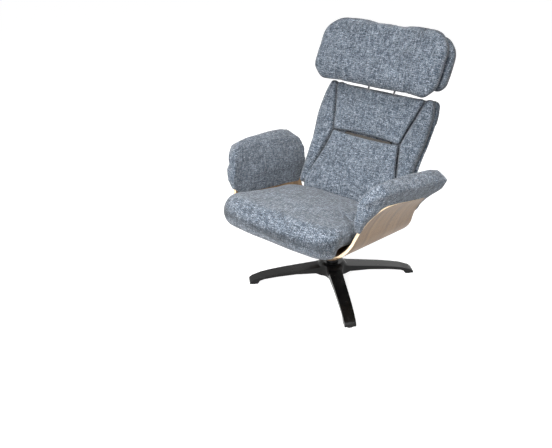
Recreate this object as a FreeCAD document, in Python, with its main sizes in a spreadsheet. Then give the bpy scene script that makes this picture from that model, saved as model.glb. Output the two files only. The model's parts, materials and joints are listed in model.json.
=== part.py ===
import FreeCAD, Part
import Sketcher
import math
import os
import re

# Recliner armchair: a moulded ply shell on a swivelling four-star foot, with padded arms, a seat
# that slides forward as the back reclines, a gas strut, a release lever and a headrest that
# rises and tilts. Millimetres and degrees. The origin is on the swivel axis at floor level, +Z
# is up and the chair faces -Y.
#
# Three tilted frames carry the upper parts. In the shell frame y runs back along the shell floor
# and z stands square to it. The back frame has its origin at the recline pivot, z up the back
# and y to the rear. The crank frame shares that origin, with z up the crank.

V = FreeCAD.Vector

SIZES = {
    # attitude
    "shell_height": 267, "shell_tilt": 11.5, "back_rake": 28.8, "recline_travel": 24,
    # clearances
    "soft_gap": 0.5, "slide_gap": 0.5, "turn_gap": 0.05, "open_pivot_gap": 1.2,
    # four-star foot
    "leg_reach": 360, "leg_tip_width": 46, "leg_root_width": 60, "leg_root_fillet": 28,
    "leg_top": 69, "leg_tip_top": 20, "leg_underside": 41, "hub_top": 88, "hub_bottom": 30,
    "hub_radius": 56, "glide_inset": 18, "glide_radius": 16, "glide_thickness": 6,
    "hub_cap_thickness": 4,
    # column and swivel
    "column_radius": 25, "column_wall": 4, "column_top": 200, "bush_length": 30,
    "bush_flange": 2, "bearing_thickness": 5, "spindle_radius": 14, "spindle_foot": 42,
    "spindle_grip": 15, "clip_thickness": 2, "clip_depth": 1.5, "clip_height": 46,
    "lower_bush_foot": 50, "socket_radius": 28,
    # mechanism tray, in the shell frame
    "tray_front": 125, "tray_rear": 95, "tray_half_width": 70, "tray_depth": 36,
    "tray_wall": 3, "tray_flange": 45, "bolt_x": 90, "bolt_y": 75, "bolt_radius": 4,
    "bolt_head_radius": 7.5, "bolt_head": 5, "tee_nut_radius": 11, "tee_nut": 3,
    "hole_gap": 0.2,
    # moulded shell
    "ply": 11, "floor_half_width": 180, "corner_radius": 100, "corner_stop": 10,
    "front_flare": 340, "rear_flare": 200, "wall_height": 224, "shell_front": 366,
    "shell_rear": 140, "arm_line_rear": 90,
    # arm pads
    "arm_inner_x": 262, "arm_rise": 94, "arm_foot": 118,
    # slide rails and seat frame
    "rail_x": 150, "rail_width": 24, "rail_height": 8, "rail_wall": 1.5, "rail_slot": 10,
    "rail_front": 356, "rail_rear": 30, "shoe_length": 46, "shoe_front_y": 300,
    "shoe_rear_y": 20, "shoe_neck": 8, "frame_outer_x": 190,
    "frame_side": 42, "frame_front": 362, "frame_rear": 40, "frame_bar": 50,
    "frame_height": 24, "frame_ply": 24, "strap_width": 50, "strap": 2, "strap_pitch": 62,
    "strap_count": 5,
    "strap_last_y": 60, "crossbar": 2, "crossbar_width": 30, "screw_radius": 2.5,
    # seat cushion
    "cushion_half_width": 258, "cushion_front": 478, "lip_rear": 370, "lip_foot": 8,
    "lip_tuck": 36, "cushion_rear_foot": 17, "cushion_rear_top": 36,
    "cushion_crown": 150, "cushion_rear_height": 113,
    "cushion_chamfer": 8,
    # recline pivot and brackets, in the shell frame
    "pivot_y": 93, "pivot_radius": 6, "bracket_x": 122, "bracket": 5,
    "bracket_head": 12, "bracket_half_foot": 30, "bracket_flange": 40, "pin_head": 3,
    "bracket_bolt_y": 20, "bracket_bolt_radius": 3,
    # back frame tubes
    "torque_radius": 9, "torque_bore": 7.5, "crank_hub": 12, "torque_half_width": 119, "back_tube": 10,
    "back_leg_x": 98, "back_bar_z": 360, "crank_radius": 66, "crank_inner_x": 8,
    "crank_plate": 5, "crank_head": 8, "crank_pin": 4, "hinge_bush_length": 22,
    "back_strap": 2, "back_strap_width": 50, "back_strap_pitch": 62, "back_strap_count": 5,
    "back_strap_foot": 50,
    # back pads
    "back_half_width": 250, "back_widest": 260, "back_top_half": 243, "back_top": 470,
    "pad_rear": 12.5, "pad_front": 51, "waist_z": 257, "waist_half": 155, "seat_seam_half": 223,
    "crown_seam_half": 207, "pad_top": 456, "pad_foot": 25, "rear_cover_front": 12.5,
    "rear_cover_rear": 48, "rear_cover_foot": 25, "bolster_rear": 12,
    # headrest slides
    "stalk_x": 60, "stalk_radius": 5, "stalk_y": 20, "stalk_foot": 375, "stalk_top": 472,
    "guide_radius": 8, "guide_foot": 352, "guide_top": 450, "guide_plate": 2,
    "hinge_z": 478, "hinge_y": 50, "hinge_radius": 6,
    "hinge_pin": 3.5, "ear": 4, "ear_x": 52, "barrel_length": 20, "leaf": 3,
    # headrest
    "head_top": 700, "head_foot": 445, "head_half_width": 277, "head_rear": 72,
    "head_front": 135, "head_wing": 40, "nape_foot": 486, "nape_half_width": 288,
    "nape_rear": 12, "nape_front": 67, "plate_half_width": 50, "plate_top": 620,
    "head_plate": 3,
    # gas strut, in the shell frame
    "strut_z": 33.7, "arc_sag": 0.7, "strut_radius": 11, "strut_wall": 2, "strut_end_y": 50,
    "strut_guide": 10, "strut_head": 10, "rod_radius": 5, "piston_radius": 8.7,
    "piston_length": 10, "piston_y": 15, "eye_radius": 9, "eye_half_width": 6,
    "strut_pin": 4, "strut_ear": 3, "strut_ear_gap": 1, "strut_ear_half": 14,
    "strut_ear_flange": 14,
    # seat link
    "link_x": 15, "link_plate": 3, "link_radius": 9, "crank_pin_half": 20,
    # release lever
    "lever_y": 105, "lever_z": 18, "lever_radius": 6, "lever_bush": 8, "lever_bush_lip": 3,
    "paddle_x": 236, "paddle_end_x": 300, "paddle_front": 10, "paddle_rear": 70,
    "paddle_thickness": 7, "finger_reach": 15, "finger_half_width": 9, "finger_tip": 4,
    "push_radius": 3, "push_gap": 0.6, "push_top": 16,
}

DOC = FreeCAD.newDocument("recliner_armchair")
SHEET = DOC.addObject("Spreadsheet::Sheet", "dims")
PARTS = []

ROW = ("0", "0", "0")
SHELL = ("-shell_tilt", "0", "shell_height")
AXIS_Z = "(strut_z+crank_radius-arc_sag)"
PIVOT_Y = f"pivot_y*cos(shell_tilt*1deg)+{AXIS_Z}*sin(shell_tilt*1deg)"
PIVOT_Z = f"shell_height-pivot_y*sin(shell_tilt*1deg)+{AXIS_Z}*cos(shell_tilt*1deg)"
BACK = ("-back_rake", PIVOT_Y, PIVOT_Z)
CRANK = ("recline_travel/2-shell_tilt", PIVOT_Y, PIVOT_Z)
GLIDE_CIRCLE = "(leg_reach-glide_inset)"
CRANK_Y = "(pivot_y+crank_radius*sin(recline_travel*0.5deg))"
PUSH_Y = "finger_reach-lever_y"
BACK_EDGE = [
    ("back_half_width", "0"), ("back_half_width", "200"), ("back_widest", "300"),
    ("back_widest-4", "400"), ("back_top_half", "back_top-10"),
]


def fill_sheet():
    """Write every size to the sheet, one row each, under its own alias."""
    for row, (name, value) in enumerate(SIZES.items(), start=1):
        SHEET.set(f"A{row}", name)
        SHEET.set(f"B{row}", str(value))
        SHEET.setAlias(f"B{row}", name)
    DOC.recompute()


def size(name):
    """Read one size back from the sheet."""
    return float(SHEET.get(name))


def bind(text):
    """Point every size named in an expression at the sheet."""
    return re.sub(r"[a-z_]+", lambda m: "dims." + m[0] if m[0] in SIZES else m[0], text)


def set_length(thing, prop, text):
    thing.setExpression(prop, f"({bind(text)})*1mm")


def move(thing, x="0", y="0", z="0"):
    """Put a piece at a point of its own frame."""
    for axis, text in zip("xyz", (x, y, z)):
        set_length(thing, f"Placement.Base.{axis}", text)
    return thing


def keep(thing, frame):
    """Stand a finished sub-part in its frame and list it for writing."""
    angle, y, z = frame
    thing.Placement = FreeCAD.Placement(V(0, 0, 0), FreeCAD.Rotation(V(1, 0, 0), 1))
    thing.setExpression("Placement.Rotation.Angle", f"({bind(angle)})*1deg")
    move(thing, "0", y, z)
    PARTS.append(thing)
    return thing


def box(name, x, y, z):
    """A box between two values on each axis."""
    thing = DOC.addObject("Part::Box", name)
    for prop, (low, high) in zip(("Length", "Width", "Height"), (x, y, z)):
        set_length(thing, prop, f"({high})-({low})")
    return move(thing, x[0], y[0], z[0])


def rod(name, along, radius, low, high, first="0", second="0"):
    """A cylinder along an axis; first and second are its place on the other two axes."""
    thing = DOC.addObject("Part::Cylinder", name)
    set_length(thing, "Radius", radius)
    set_length(thing, "Height", f"({high})-({low})")
    turn = {"x": (V(0, 1, 0), 90), "y": (V(1, 0, 0), -90), "z": (V(0, 0, 1), 0)}[along]
    thing.Placement = FreeCAD.Placement(V(0, 0, 0), FreeCAD.Rotation(*turn))
    place = {"x": (low, first, second), "y": (first, low, second), "z": (first, second, low)}
    return move(thing, *place[along])


def cut(name, base, *tools):
    """Take one or more tools from a base."""
    thing = DOC.addObject("Part::Cut", name)
    thing.Base = base
    thing.Tool = tools[0] if len(tools) == 1 else group(name + "_tools", *tools)
    return thing


def fuse(name, *pieces):
    thing = DOC.addObject("Part::MultiFuse", name)
    thing.Shapes = list(pieces)
    return thing


def common(name, *pieces):
    thing = DOC.addObject("Part::MultiCommon", name)
    thing.Shapes = list(pieces)
    return thing


def group(name, *pieces):
    """Separate solids under one name."""
    thing = DOC.addObject("Part::Compound", name)
    thing.Links = list(pieces)
    return thing


def mirrored(name, piece):
    """The same piece on the other side of the chair."""
    thing = DOC.addObject("Part::Mirroring", name)
    thing.Source = piece
    thing.Normal = V(1, 0, 0)
    return thing


def ring(name, along, outer, inner, low, high, first="0", second="0"):
    """A tube, or a washer when it is short."""
    return cut(
        name,
        rod(name + "_outside", along, outer, low, high, first, second),
        rod(name + "_bore", along, inner, f"{low}-1", f"{high}+1", first, second),
    )


def outline(body, name, plane, corners, offset="0"):
    """A closed sketch of straight edges, every corner held by the sheet."""
    sketch = body.newObject("Sketcher::SketchObject", name)
    origin_plane = [f for f in body.Origin.OriginFeatures if f.Role == plane][0]
    sketch.AttachmentSupport = [(origin_plane, "")]
    sketch.MapMode = "FlatFace"
    set_length(sketch, "AttachmentOffset.Base.z", offset)
    count = len(corners)
    rough = [V(math.cos(2 * math.pi * i / count), math.sin(2 * math.pi * i / count), 0)
             for i in range(count)]
    edges = [Part.LineSegment(rough[i], rough[(i + 1) % count]) for i in range(count)]
    sketch.addGeometry(edges, False)
    rules = [Sketcher.Constraint("Coincident", i, 2, (i + 1) % count, 1) for i in range(count)]
    for i, point in enumerate(rough):
        rules.append(Sketcher.Constraint("DistanceX", -1, 1, i, 1, point.x))
        rules.append(Sketcher.Constraint("DistanceY", -1, 1, i, 1, point.y))
    sketch.addConstraint(rules)
    for i, (across, up) in enumerate(corners):
        set_length(sketch, f"Constraints[{count + 2 * i}]", across)
        set_length(sketch, f"Constraints[{count + 2 * i + 1}]", up)
    return sketch


def prism(name, plane, corners, low, high):
    """A straight-edged outline, padded along its plane's normal from low to high.

    The normals are +Z on XY_Plane, -Y on XZ_Plane and +X on YZ_Plane.
    """
    body = DOC.addObject("PartDesign::Body", name)
    pad = body.newObject("PartDesign::Pad", name + "_pad")
    pad.Profile = outline(body, name + "_outline", plane, corners, low)
    set_length(pad, "Length", f"({high})-({low})")
    return body


def turned(name, corners):
    """A profile of radius and height, revolved about Z."""
    body = DOC.addObject("PartDesign::Body", name)
    sketch = outline(body, name + "_profile", "XZ_Plane", corners)
    lathe = body.newObject("PartDesign::Revolution", name + "_lathe")
    lathe.Profile = sketch
    lathe.ReferenceAxis = (sketch, ["V_Axis"])
    lathe.Angle = 360
    return body


def both_sides(corners):
    """Close a right-hand outline with its mirror image."""
    return corners + [(f"-({across})", up) for across, up in reversed(corners)]


def four(make):
    """Call make(sign_x, sign_y) for the four corners."""
    return [make(sx, sy) for sx in ("-", "") for sy in ("-", "")]


# Four-star foot, column and swivel ------------------------------------------------------------

def star_plan():
    """Four tapered legs on the diagonals, with rounded roots between them."""
    half_tip, half_root = "leg_tip_width/2", "leg_root_width/2"
    far = f"(leg_reach+{half_tip})/sqrt(2)"
    near = f"(leg_reach-{half_tip})/sqrt(2)"
    root = f"{half_root}/(1+({half_root}-{half_tip})/leg_reach)*sqrt(2)"
    corners = [
        (root, "0"), (far, near), (near, far),
        ("0", root), (f"-{near}", far), (f"-{far}", near),
        (f"-{root}", "0"), (f"-{far}", f"-{near}"), (f"-{near}", f"-{far}"),
        ("0", f"-{root}"), (near, f"-{far}"), (far, f"-{near}"),
    ]
    plan = prism("star_plan", "XY_Plane", corners, "0", "hub_top+10")
    DOC.recompute()
    pad = plan.Tip
    roots = [
        f"Edge{i}" for i, edge in enumerate(pad.Shape.Edges, start=1)
        if edge.BoundBox.ZLength > 1 and math.hypot(edge.CenterOfMass.x, edge.CenterOfMass.y)
        < size("leg_root_width")
    ]
    fillet = plan.newObject("PartDesign::Fillet", "star_roots")
    fillet.Base = (pad, roots)
    set_length(fillet, "Radius", "leg_root_fillet")
    return plan


def foot_parts():
    """The star, its glides, the cap under the hub and the column that stands in it."""
    profile = turned("star_profile", [
        ("0", "hub_top"), ("hub_radius-14", "hub_top"), ("hub_radius-4", "hub_top-6"),
        ("hub_radius+6", "leg_top+3"), ("hub_radius+20", "leg_top"),
        ("leg_reach*0.58", "leg_top-14"), ("leg_reach*0.75", "leg_top-23"),
        ("leg_reach*0.86", "leg_top-31"), ("leg_reach-12", "leg_tip_top+4"),
        ("leg_reach+4", "leg_tip_top-9"), ("leg_reach+4", "glide_thickness"),
        (f"{GLIDE_CIRCLE}-glide_radius", "glide_thickness"),
        (f"{GLIDE_CIRCLE}-glide_radius-8", "leg_tip_top"),
        ("leg_reach*0.83", "leg_underside-14"), ("leg_reach*0.68", "leg_underside-6"),
        ("leg_reach*0.45", "leg_underside+1"), ("hub_radius+24", "leg_underside"),
        ("hub_radius+4", "hub_bottom"), ("0", "hub_bottom"),
    ])
    star = common("star_blank", star_plan(), profile)
    bore = rod("star_bore", "z", "column_radius", "hub_bottom-1", "hub_top+1")
    keep(cut("star_base", star, bore), ROW)
    glides = four(lambda sx, sy: rod(
        "glide", "z", "glide_radius", "0", "glide_thickness",
        f"{sx}{GLIDE_CIRCLE}/sqrt(2)", f"{sy}{GLIDE_CIRCLE}/sqrt(2)"))
    keep(group("leg_glides", *glides), ROW)
    keep(group("hub_cap", rod("hub_disc", "z", "column_radius+8",
                              "hub_bottom-hub_cap_thickness", "hub_bottom")), ROW)
    keep(ring("column_tube", "z", "column_radius", "column_radius-column_wall",
              "hub_bottom", "column_top"), ROW)


def swivel_parts():
    """Two bushes and a thrust ring carry the spindle, which a clip keeps in the column."""
    bore = "spindle_radius+turn_gap"
    sleeve = "column_radius-column_wall"
    keep(ring("swivel_bush_lower", "z", sleeve, bore, "lower_bush_foot",
              "lower_bush_foot+bush_length"), ROW)
    upper = fuse(
        "upper_bush_blank",
        rod("upper_bush_sleeve", "z", sleeve, "column_top-bush_length", "column_top"),
        rod("upper_bush_flange", "z", "column_radius", "column_top", "column_top+bush_flange"),
    )
    keep(cut("swivel_bush_upper", upper,
             rod("upper_bush_bore", "z", bore, "0", "column_top*2")), ROW)
    seat = "column_top+bush_flange"
    keep(ring("thrust_bearing", "z", "socket_radius-1", bore, seat,
              f"{seat}+bearing_thickness"), ROW)
    foot = f"{seat}+bearing_thickness+turn_gap"
    top = f"{foot}+spindle_grip"
    groove = ring("spindle_groove", "z", "spindle_radius+2", "spindle_radius-clip_depth",
                  "clip_height", "clip_height+clip_thickness")
    keep(cut("swivel_spindle", rod("spindle_bar", "z", "spindle_radius", "spindle_foot", top),
             groove), ROW)
    keep(ring("spindle_clip", "z", "spindle_radius+4", "spindle_radius-clip_depth",
              "clip_height", "clip_height+clip_thickness"), ROW)
    above_tray = keep(group("above_tray", box(
        "above_tray_block", ("-200", "200"), ("-200", "200"), ("-tray_depth", "200"))), SHELL)
    PARTS.remove(above_tray)
    keep(cut("spindle_socket", rod("socket_bar", "z", "socket_radius", foot, "shell_height"),
             rod("socket_bore", "z", "spindle_radius", f"{foot}-1", top), above_tray), ROW)


# Mechanism tray under the shell ---------------------------------------------------------------

def tray_parts():
    """A pressed hat channel, closed at both ends and bolted up through the shell floor."""
    inside = "tray_half_width-tray_wall"
    edge = "tray_half_width+tray_flange"
    channel = prism("tray_channel", "XZ_Plane", both_sides([
        (inside, "-tray_depth+tray_wall"), (inside, "0"), (edge, "0"), (edge, "-tray_wall"),
        ("tray_half_width", "-tray_wall"), ("tray_half_width", "-tray_depth"),
    ]), "-tray_rear", "tray_front")
    ends = [
        box("tray_front_wall", (f"-({inside})", inside), ("-tray_front", "-tray_front+tray_wall"),
            ("-tray_depth+tray_wall", "0")),
        box("tray_rear_wall", (f"-({inside})", inside), ("tray_rear-tray_wall", "tray_rear"),
            ("-tray_depth+tray_wall", "0")),
    ]
    holes = four(lambda sx, sy: rod(
        "tray_hole", "z", "bolt_radius+hole_gap", "-tray_wall-1", "1",
        f"{sx}bolt_x", f"{sy}bolt_y"))
    holes.append(rod("lever_hole", "x", "lever_bush", "-tray_half_width-1",
                     "tray_half_width+1", "-lever_y", "-lever_z"))
    keep(cut("mechanism_tray", fuse("tray_blank", channel, *ends), *holes), SHELL)
    bolts = four(lambda sx, sy: fuse(
        "tray_bolt",
        rod("tray_bolt_shank", "z", "bolt_radius", "-tray_wall", "ply+tee_nut",
            f"{sx}bolt_x", f"{sy}bolt_y"),
        rod("tray_bolt_head", "z", "bolt_head_radius", "-tray_wall-bolt_head", "-tray_wall",
            f"{sx}bolt_x", f"{sy}bolt_y"),
    ))
    keep(group("tray_bolts", *bolts), SHELL)
    nuts = four(lambda sx, sy: ring(
        "tee_nut_ring", "z", "tee_nut_radius", "bolt_radius", "ply", "ply+tee_nut",
        f"{sx}bolt_x", f"{sy}bolt_y"))
    keep(group("tee_nuts", *nuts), SHELL)


# Moulded shell and arm pads -------------------------------------------------------------------

def flare_centre(flare):
    """The centre of the outward flare that follows the floor's corner arc."""
    stop = math.radians(size("corner_stop"))
    reach = size("corner_radius") + flare
    return (size("floor_half_width") + reach * math.cos(stop),
            size("corner_radius") - reach * math.sin(stop))


def wall_x(y, z, depth):
    """How far out the shell wall stands at a height, that deep inside its outer face."""
    share = (y + size("shell_front")) / (size("shell_front") + size("shell_rear"))
    flare = size("front_flare") + share * (size("rear_flare") - size("front_flare"))
    centre_x, centre_z = flare_centre(flare)
    return centre_x - math.sqrt((flare + depth) ** 2 - (z - centre_z) ** 2)


def half_section(y, flare, depth):
    """The floor corner and the flare on one side, as two arcs from floor to top."""
    corner = size("corner_radius")
    centre_x, centre_z = flare_centre(flare)
    stop = math.radians(size("corner_stop"))
    top = math.asin((size("wall_height") + 2 - centre_z) / (flare + depth))

    def low(angle):
        reach = corner - depth
        return V(size("floor_half_width") + reach * math.cos(angle), y,
                 corner + reach * math.sin(angle))

    def high(angle):
        return V(centre_x - (flare + depth) * math.cos(angle), y,
                 centre_z + (flare + depth) * math.sin(angle))

    start = -math.pi / 2
    return [Part.Arc(low(start), low((start - stop) / 2), low(-stop)),
            Part.Arc(high(stop), high((stop + top) / 2), high(top))]


def wall_section(y, flare, inner, outer):
    """One closed section of the shell between two depths."""
    def other_side(arc):
        a, m, b = (arc.value(arc.FirstParameter),
                   arc.value((arc.FirstParameter + arc.LastParameter) / 2),
                   arc.value(arc.LastParameter))
        return Part.Arc(*(V(-p.x, p.y, p.z) for p in (b, m, a)))

    def line_of(depth):
        right = half_section(y, flare, depth)
        return [other_side(right[1]), other_side(right[0])] + right

    def ends(arcs):
        return arcs[0].value(arcs[0].FirstParameter), arcs[-1].value(arcs[-1].LastParameter)

    def floor(arcs):
        return Part.LineSegment(arcs[1].value(arcs[1].LastParameter),
                                arcs[2].value(arcs[2].FirstParameter))

    outside, inside = line_of(outer), line_of(inner)
    left_out, right_out = ends(outside)
    left_in, right_in = ends(inside)
    edges = outside[:2] + [floor(outside)] + outside[2:]
    edges.append(Part.LineSegment(right_out, right_in))
    edges += inside[2:][::-1] + [floor(inside)] + inside[:2][::-1]
    edges.append(Part.LineSegment(left_in, left_out))
    return Part.Wire(Part.__sortEdges__([edge.toShape() for edge in edges]))


def side_profile(rise):
    """The shell's rim seen from the side, as a face in the middle plane."""
    front, rear, top = -size("shell_front"), size("shell_rear"), size("wall_height")
    arm = size("arm_line_rear")
    rim = [
        (front, 0), (front, 0.1 * top), (front + 8, 0.2 * top), (front + 28, 0.38 * top),
        (front + 43, 0.62 * top), (front + 62, 0.83 * top), (front + 84, 0.955 * top),
        (front + 126, top), (front + 266, top - 11), (arm - 50, top - 24), (arm - 8, top - 35),
        (arm + 12, 0.68 * top), (rear - 20, 0.43 * top), (rear - 5, 0.18 * top), (rear, 0),
    ]
    points = [V(0, y, z + rise) for y, z in rim]
    curve = Part.BSplineCurve()
    curve.interpolate(points)
    first, last = V(0, front, -1), V(0, rear, -1)
    edges = [Part.LineSegment(first, points[0]), curve, Part.LineSegment(points[-1], last),
             Part.LineSegment(last, first)]
    return Part.Face(Part.Wire([edge.toShape() for edge in edges]))


def shell_solid(inner, outer, rise):
    """The shell between two depths, cut to its rim."""
    front, rear = -size("shell_front") - 20, size("shell_rear") + 20
    walls = Part.makeLoft([
        wall_section(front, size("front_flare"), inner, outer),
        wall_section(rear, size("rear_flare"), inner, outer),
    ], True, True)
    reach = 2 * size("floor_half_width") + 2 * size("corner_radius")
    profile = side_profile(rise).extrude(V(2 * reach, 0, 0))
    profile.translate(V(-reach, 0, 0))
    return walls.common(profile)


def feature(name, shape):
    """An object that holds a shape made here."""
    thing = DOC.addObject("Part::Feature", name)
    thing.Shape = shape
    return thing


def shell_parts():
    """The moulded ply shell, drilled for what is fastened to its floor."""
    blank = feature("shell_blank", shell_solid(size("ply"), 0, 0))
    holes = four(lambda sx, sy: rod(
        "shell_hole", "z", "bolt_radius+hole_gap", "-1", "ply+1",
        f"{sx}bolt_x", f"{sy}bolt_y"))
    holes.append(rod("push_hole", "z", "push_radius+hole_gap", "-1", "ply+1", "0", PUSH_Y))
    holes += bracket_bolt_rods("bracket_hole", "bracket_bolt_radius+hole_gap", "-1", "ply+1")
    holes += screw_rods("screw_hole", "screw_radius", "ply/4", "ply+1")
    keep(cut("seat_shell", blank, *holes), SHELL)


def arm_section(y, foot, top, top_x, outer_x, edge_z, slant=0):
    """One section across an arm pad: up the inner face, over the top and down to the rim.

    A slanted section stands further forward the further out it goes.
    """
    inner = size("arm_inner_x")
    tall, wide = top - foot, top_x - inner

    def rim_x(z):
        return min(wall_x(y, z, size("ply") / 2), outer_x)

    corners = [
        (inner + 2, foot), (inner + 3, foot + 0.4 * tall),
        (inner + 0.16 * wide, foot + 0.66 * tall), (inner + 0.46 * wide, top - 0.11 * tall),
        (top_x, top), (outer_x, top - 0.13 * tall),
        (0.6 * outer_x + 0.4 * top_x, top - 0.34 * tall), (rim_x(edge_z), edge_z),
        (rim_x((foot + edge_z) / 2), (foot + edge_z) / 2), (rim_x(foot), foot),
    ]
    points = [V(x, y - slant * (x - inner), z) for x, z in corners]
    return Part.makePolygon(points + points[:1])


def arm_parts():
    """The padded arms, which fill the walls and roll out over the rim."""
    top = size("wall_height") + size("arm_rise")
    foot = size("arm_foot")
    rim = size("wall_height")
    front, rear = -size("shell_front"), size("arm_line_rear")
    stations = [
        (front + 7, foot + 42, top - 66, 280, 300, rim - 24),
        (front + 23, foot + 20, top - 42, 288, 316, rim - 24),
        (front + 66, foot, top - 13, 306, 345, rim - 20),
        (front + 146, foot, top - 3, 318, 364, rim - 4),
        (front + 266, foot, top, 327, 386, rim - 10),
        (rear - 60, foot, top, 342, 400, rim - 22),
        (rear + 10, foot, top - 8, 350, 404, rim - 32, 0.2),
        (rear + 42, foot + 25, top - 20, 346, 398, rim - 34, 0.36),
    ]
    raw = Part.makeLoft([arm_section(*station) for station in stations], True, True)
    wall = shell_solid(size("ply") + size("soft_gap"), 0, size("soft_gap"))
    pad = raw.cut(wall)
    solid = max(pad.Solids, key=lambda piece: piece.Volume)
    right_hand = feature("arm_pad_shape", solid)
    keep(group("arm_pad_left", right_hand), SHELL)
    keep(mirrored("arm_pad_right", right_hand), SHELL)


# Slide rails, seat frame and cushion ----------------------------------------------------------

def screw_rods(name, radius, low, high):
    """Three upright rods along each slide rail."""
    return [rod(name, "z", radius, low, high, f"{side}rail_x", f"{y}")
            for side in ("-", "") for y in ("-rail_front+25", "-rail_front/2", "rail_rear-30")]


def rail_parts():
    """Two C rails screwed to the shell floor, and the four shoes that run in them."""
    half, wall = "rail_width/2", "rail_wall"
    lip = "rail_slot/2"
    for side, label in (("-", "rail_right"), ("", "rail_left")):
        corners = [
            (f"-{half}", "0"), (half, "0"), (half, "rail_height"), (lip, "rail_height"),
            (lip, f"rail_height-{wall}"), (f"{half}-{wall}", f"rail_height-{wall}"),
            (f"{half}-{wall}", wall), (f"-{half}+{wall}", wall),
            (f"-{half}+{wall}", f"rail_height-{wall}"), (f"-{lip}", f"rail_height-{wall}"),
            (f"-{lip}", "rail_height"), (f"-{half}", "rail_height"),
        ]
        placed = [(f"{side}rail_x+({x})", f"ply+{z}") for x, z in corners]
        channel = prism(label + "_channel", "XZ_Plane", placed, "-rail_rear", "rail_front")
        holes = screw_rods(label + "_hole", "screw_radius", "ply-1", "ply+rail_wall+1")
        keep(cut(label, channel, *holes), SHELL)
    screws = [
        fuse("rail_screw", shank, head) for shank, head in zip(
            screw_rods("rail_screw_shank", "screw_radius", "ply/4", "ply+rail_wall"),
            screw_rods("rail_screw_head", "screw_radius+1.5", "ply+rail_wall",
                       "ply+rail_wall+0.4"))
    ]
    keep(group("rail_screws", *screws), SHELL)
    foot, neck, gap = "rail_width/2-rail_wall-slide_gap", "shoe_neck/2", "slide_gap"
    shoes = []
    for side in ("-", ""):
        for y in ("shoe_front_y", "shoe_rear_y"):
            right = [
                (foot, f"ply+rail_wall+{gap}"), (foot, f"ply+rail_height-rail_wall-{gap}"),
                (neck, f"ply+rail_height-rail_wall-{gap}"), (neck, f"ply+rail_height+{gap}"),
                ("rail_width/2-2", f"ply+rail_height+{gap}"),
                ("rail_width/2-2", "frame_height"),
            ]
            corners = [(f"{side}rail_x+({x})", z) for x, z in right]
            corners += [(f"{side}rail_x-({x})", z) for x, z in reversed(right)]
            shoes.append(prism("shoe", "XZ_Plane", corners, f"{y}-shoe_length/2",
                               f"{y}+shoe_length/2"))
    keep(group("slide_shoes", *shoes), SHELL)


def seat_frame_parts():
    """The ply seat frame, its rear crossbar with two links, and the webbing."""
    inner = "frame_outer_x-frame_side"
    top = "frame_height+frame_ply"
    keep(prism("seat_frame", "XY_Plane", both_sides([
        ("frame_outer_x", "-frame_front"), ("frame_outer_x", "frame_rear"),
        (inner, "frame_rear"), (inner, "-frame_front+frame_bar"),
    ]), "frame_height", top), SHELL)
    keep(group("seat_crossbar", box(
        "crossbar_strip", ("-frame_outer_x", "frame_outer_x"),
        ("frame_rear-crossbar_width", "frame_rear"), (top, f"{top}+crossbar"))), SHELL)
    straps = [
        box("strap_band", ("-frame_outer_x", "frame_outer_x"),
            (f"-strap_last_y-{i}*strap_pitch-strap_width/2",
             f"-strap_last_y-{i}*strap_pitch+strap_width/2"), (top, f"{top}+strap"))
        for i in range(int(size("strap_count")))
    ]
    keep(group("seat_webbing", *straps), SHELL)
    links = []
    for low, high in (("link_x", "link_x+link_plate"), ("-link_x-link_plate", "-link_x")):
        arm = prism("link_arm", "YZ_Plane", [
            ("frame_rear-crossbar_width", top), ("frame_rear-crossbar_width", f"{top}-8"),
            ("frame_rear-10", "strut_z-3"), (CRANK_Y, "strut_z-link_radius+2"),
            (CRANK_Y, "strut_z+link_radius-2"), ("frame_rear+10", f"{top}-4"),
            ("frame_rear", top),
        ], low, high)
        eye = rod("link_eye", "x", "link_radius", low, high, CRANK_Y, "strut_z")
        hole = rod("link_hole", "x", "crank_pin+open_pivot_gap", f"{low}-1", f"{high}+1",
                   CRANK_Y, "strut_z")
        links.append(cut("seat_link", fuse("link_blank", arm, eye), hole))
    keep(group("seat_links", *links), SHELL)


def cushion_parts():
    """The seat cushion, with a lip that hangs over the shell's front edge."""
    base = "frame_height+frame_ply+strap+soft_gap"
    side = prism("cushion_side", "YZ_Plane", [
        ("cushion_rear_top", "cushion_rear_height"), ("cushion_rear_foot", base),
        ("-lip_rear", base), ("-lip_rear", "lip_foot"), ("-cushion_front+46", "lip_foot"),
        ("-cushion_front+12", "lip_foot+28"), ("-cushion_front", "cushion_crown/2"),
        ("-cushion_front+13", "cushion_crown-30"), ("-cushion_front+48", "cushion_crown-2"),
        ("-cushion_front+148", "cushion_crown"), ("-cushion_front+278", "cushion_crown-15"),
        ("-cushion_front+418", "cushion_crown-32"),
    ], "-cushion_half_width", "cushion_half_width")
    plan = prism("cushion_plan", "XY_Plane", both_sides([
        ("cushion_half_width", "cushion_rear_top+1"), ("cushion_half_width", "-cushion_front+70"),
        ("cushion_half_width-18", "-cushion_front+38"),
        ("cushion_half_width-108", "-cushion_front+10"), ("1", "-cushion_front"),
    ]), "-5", "cushion_crown+5")
    front = prism("cushion_across", "XZ_Plane", both_sides([
        ("cushion_half_width", "cushion_crown+5"),
        ("cushion_half_width", f"{base}+cushion_chamfer*3"),
        ("cushion_half_width-cushion_chamfer", base),
        ("cushion_half_width-lip_tuck", "lip_foot"),
    ]), "-cushion_rear_top-1", "cushion_front+5")
    keep(common("seat_cushion", side, plan, front), SHELL)


# Recline pivot, gas strut and release lever ---------------------------------------------------


def bracket_bolt_rods(name, radius, low, high):
    """Two upright rods through each bracket's foot."""
    middle = "bracket_x+bracket+bracket_flange/2"
    return [rod(name, "z", radius, low, high, f"{side}({middle})", f"pivot_y{y}")
            for side in ("-", "") for y in ("-bracket_bolt_y", "+bracket_bolt_y")]


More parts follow.
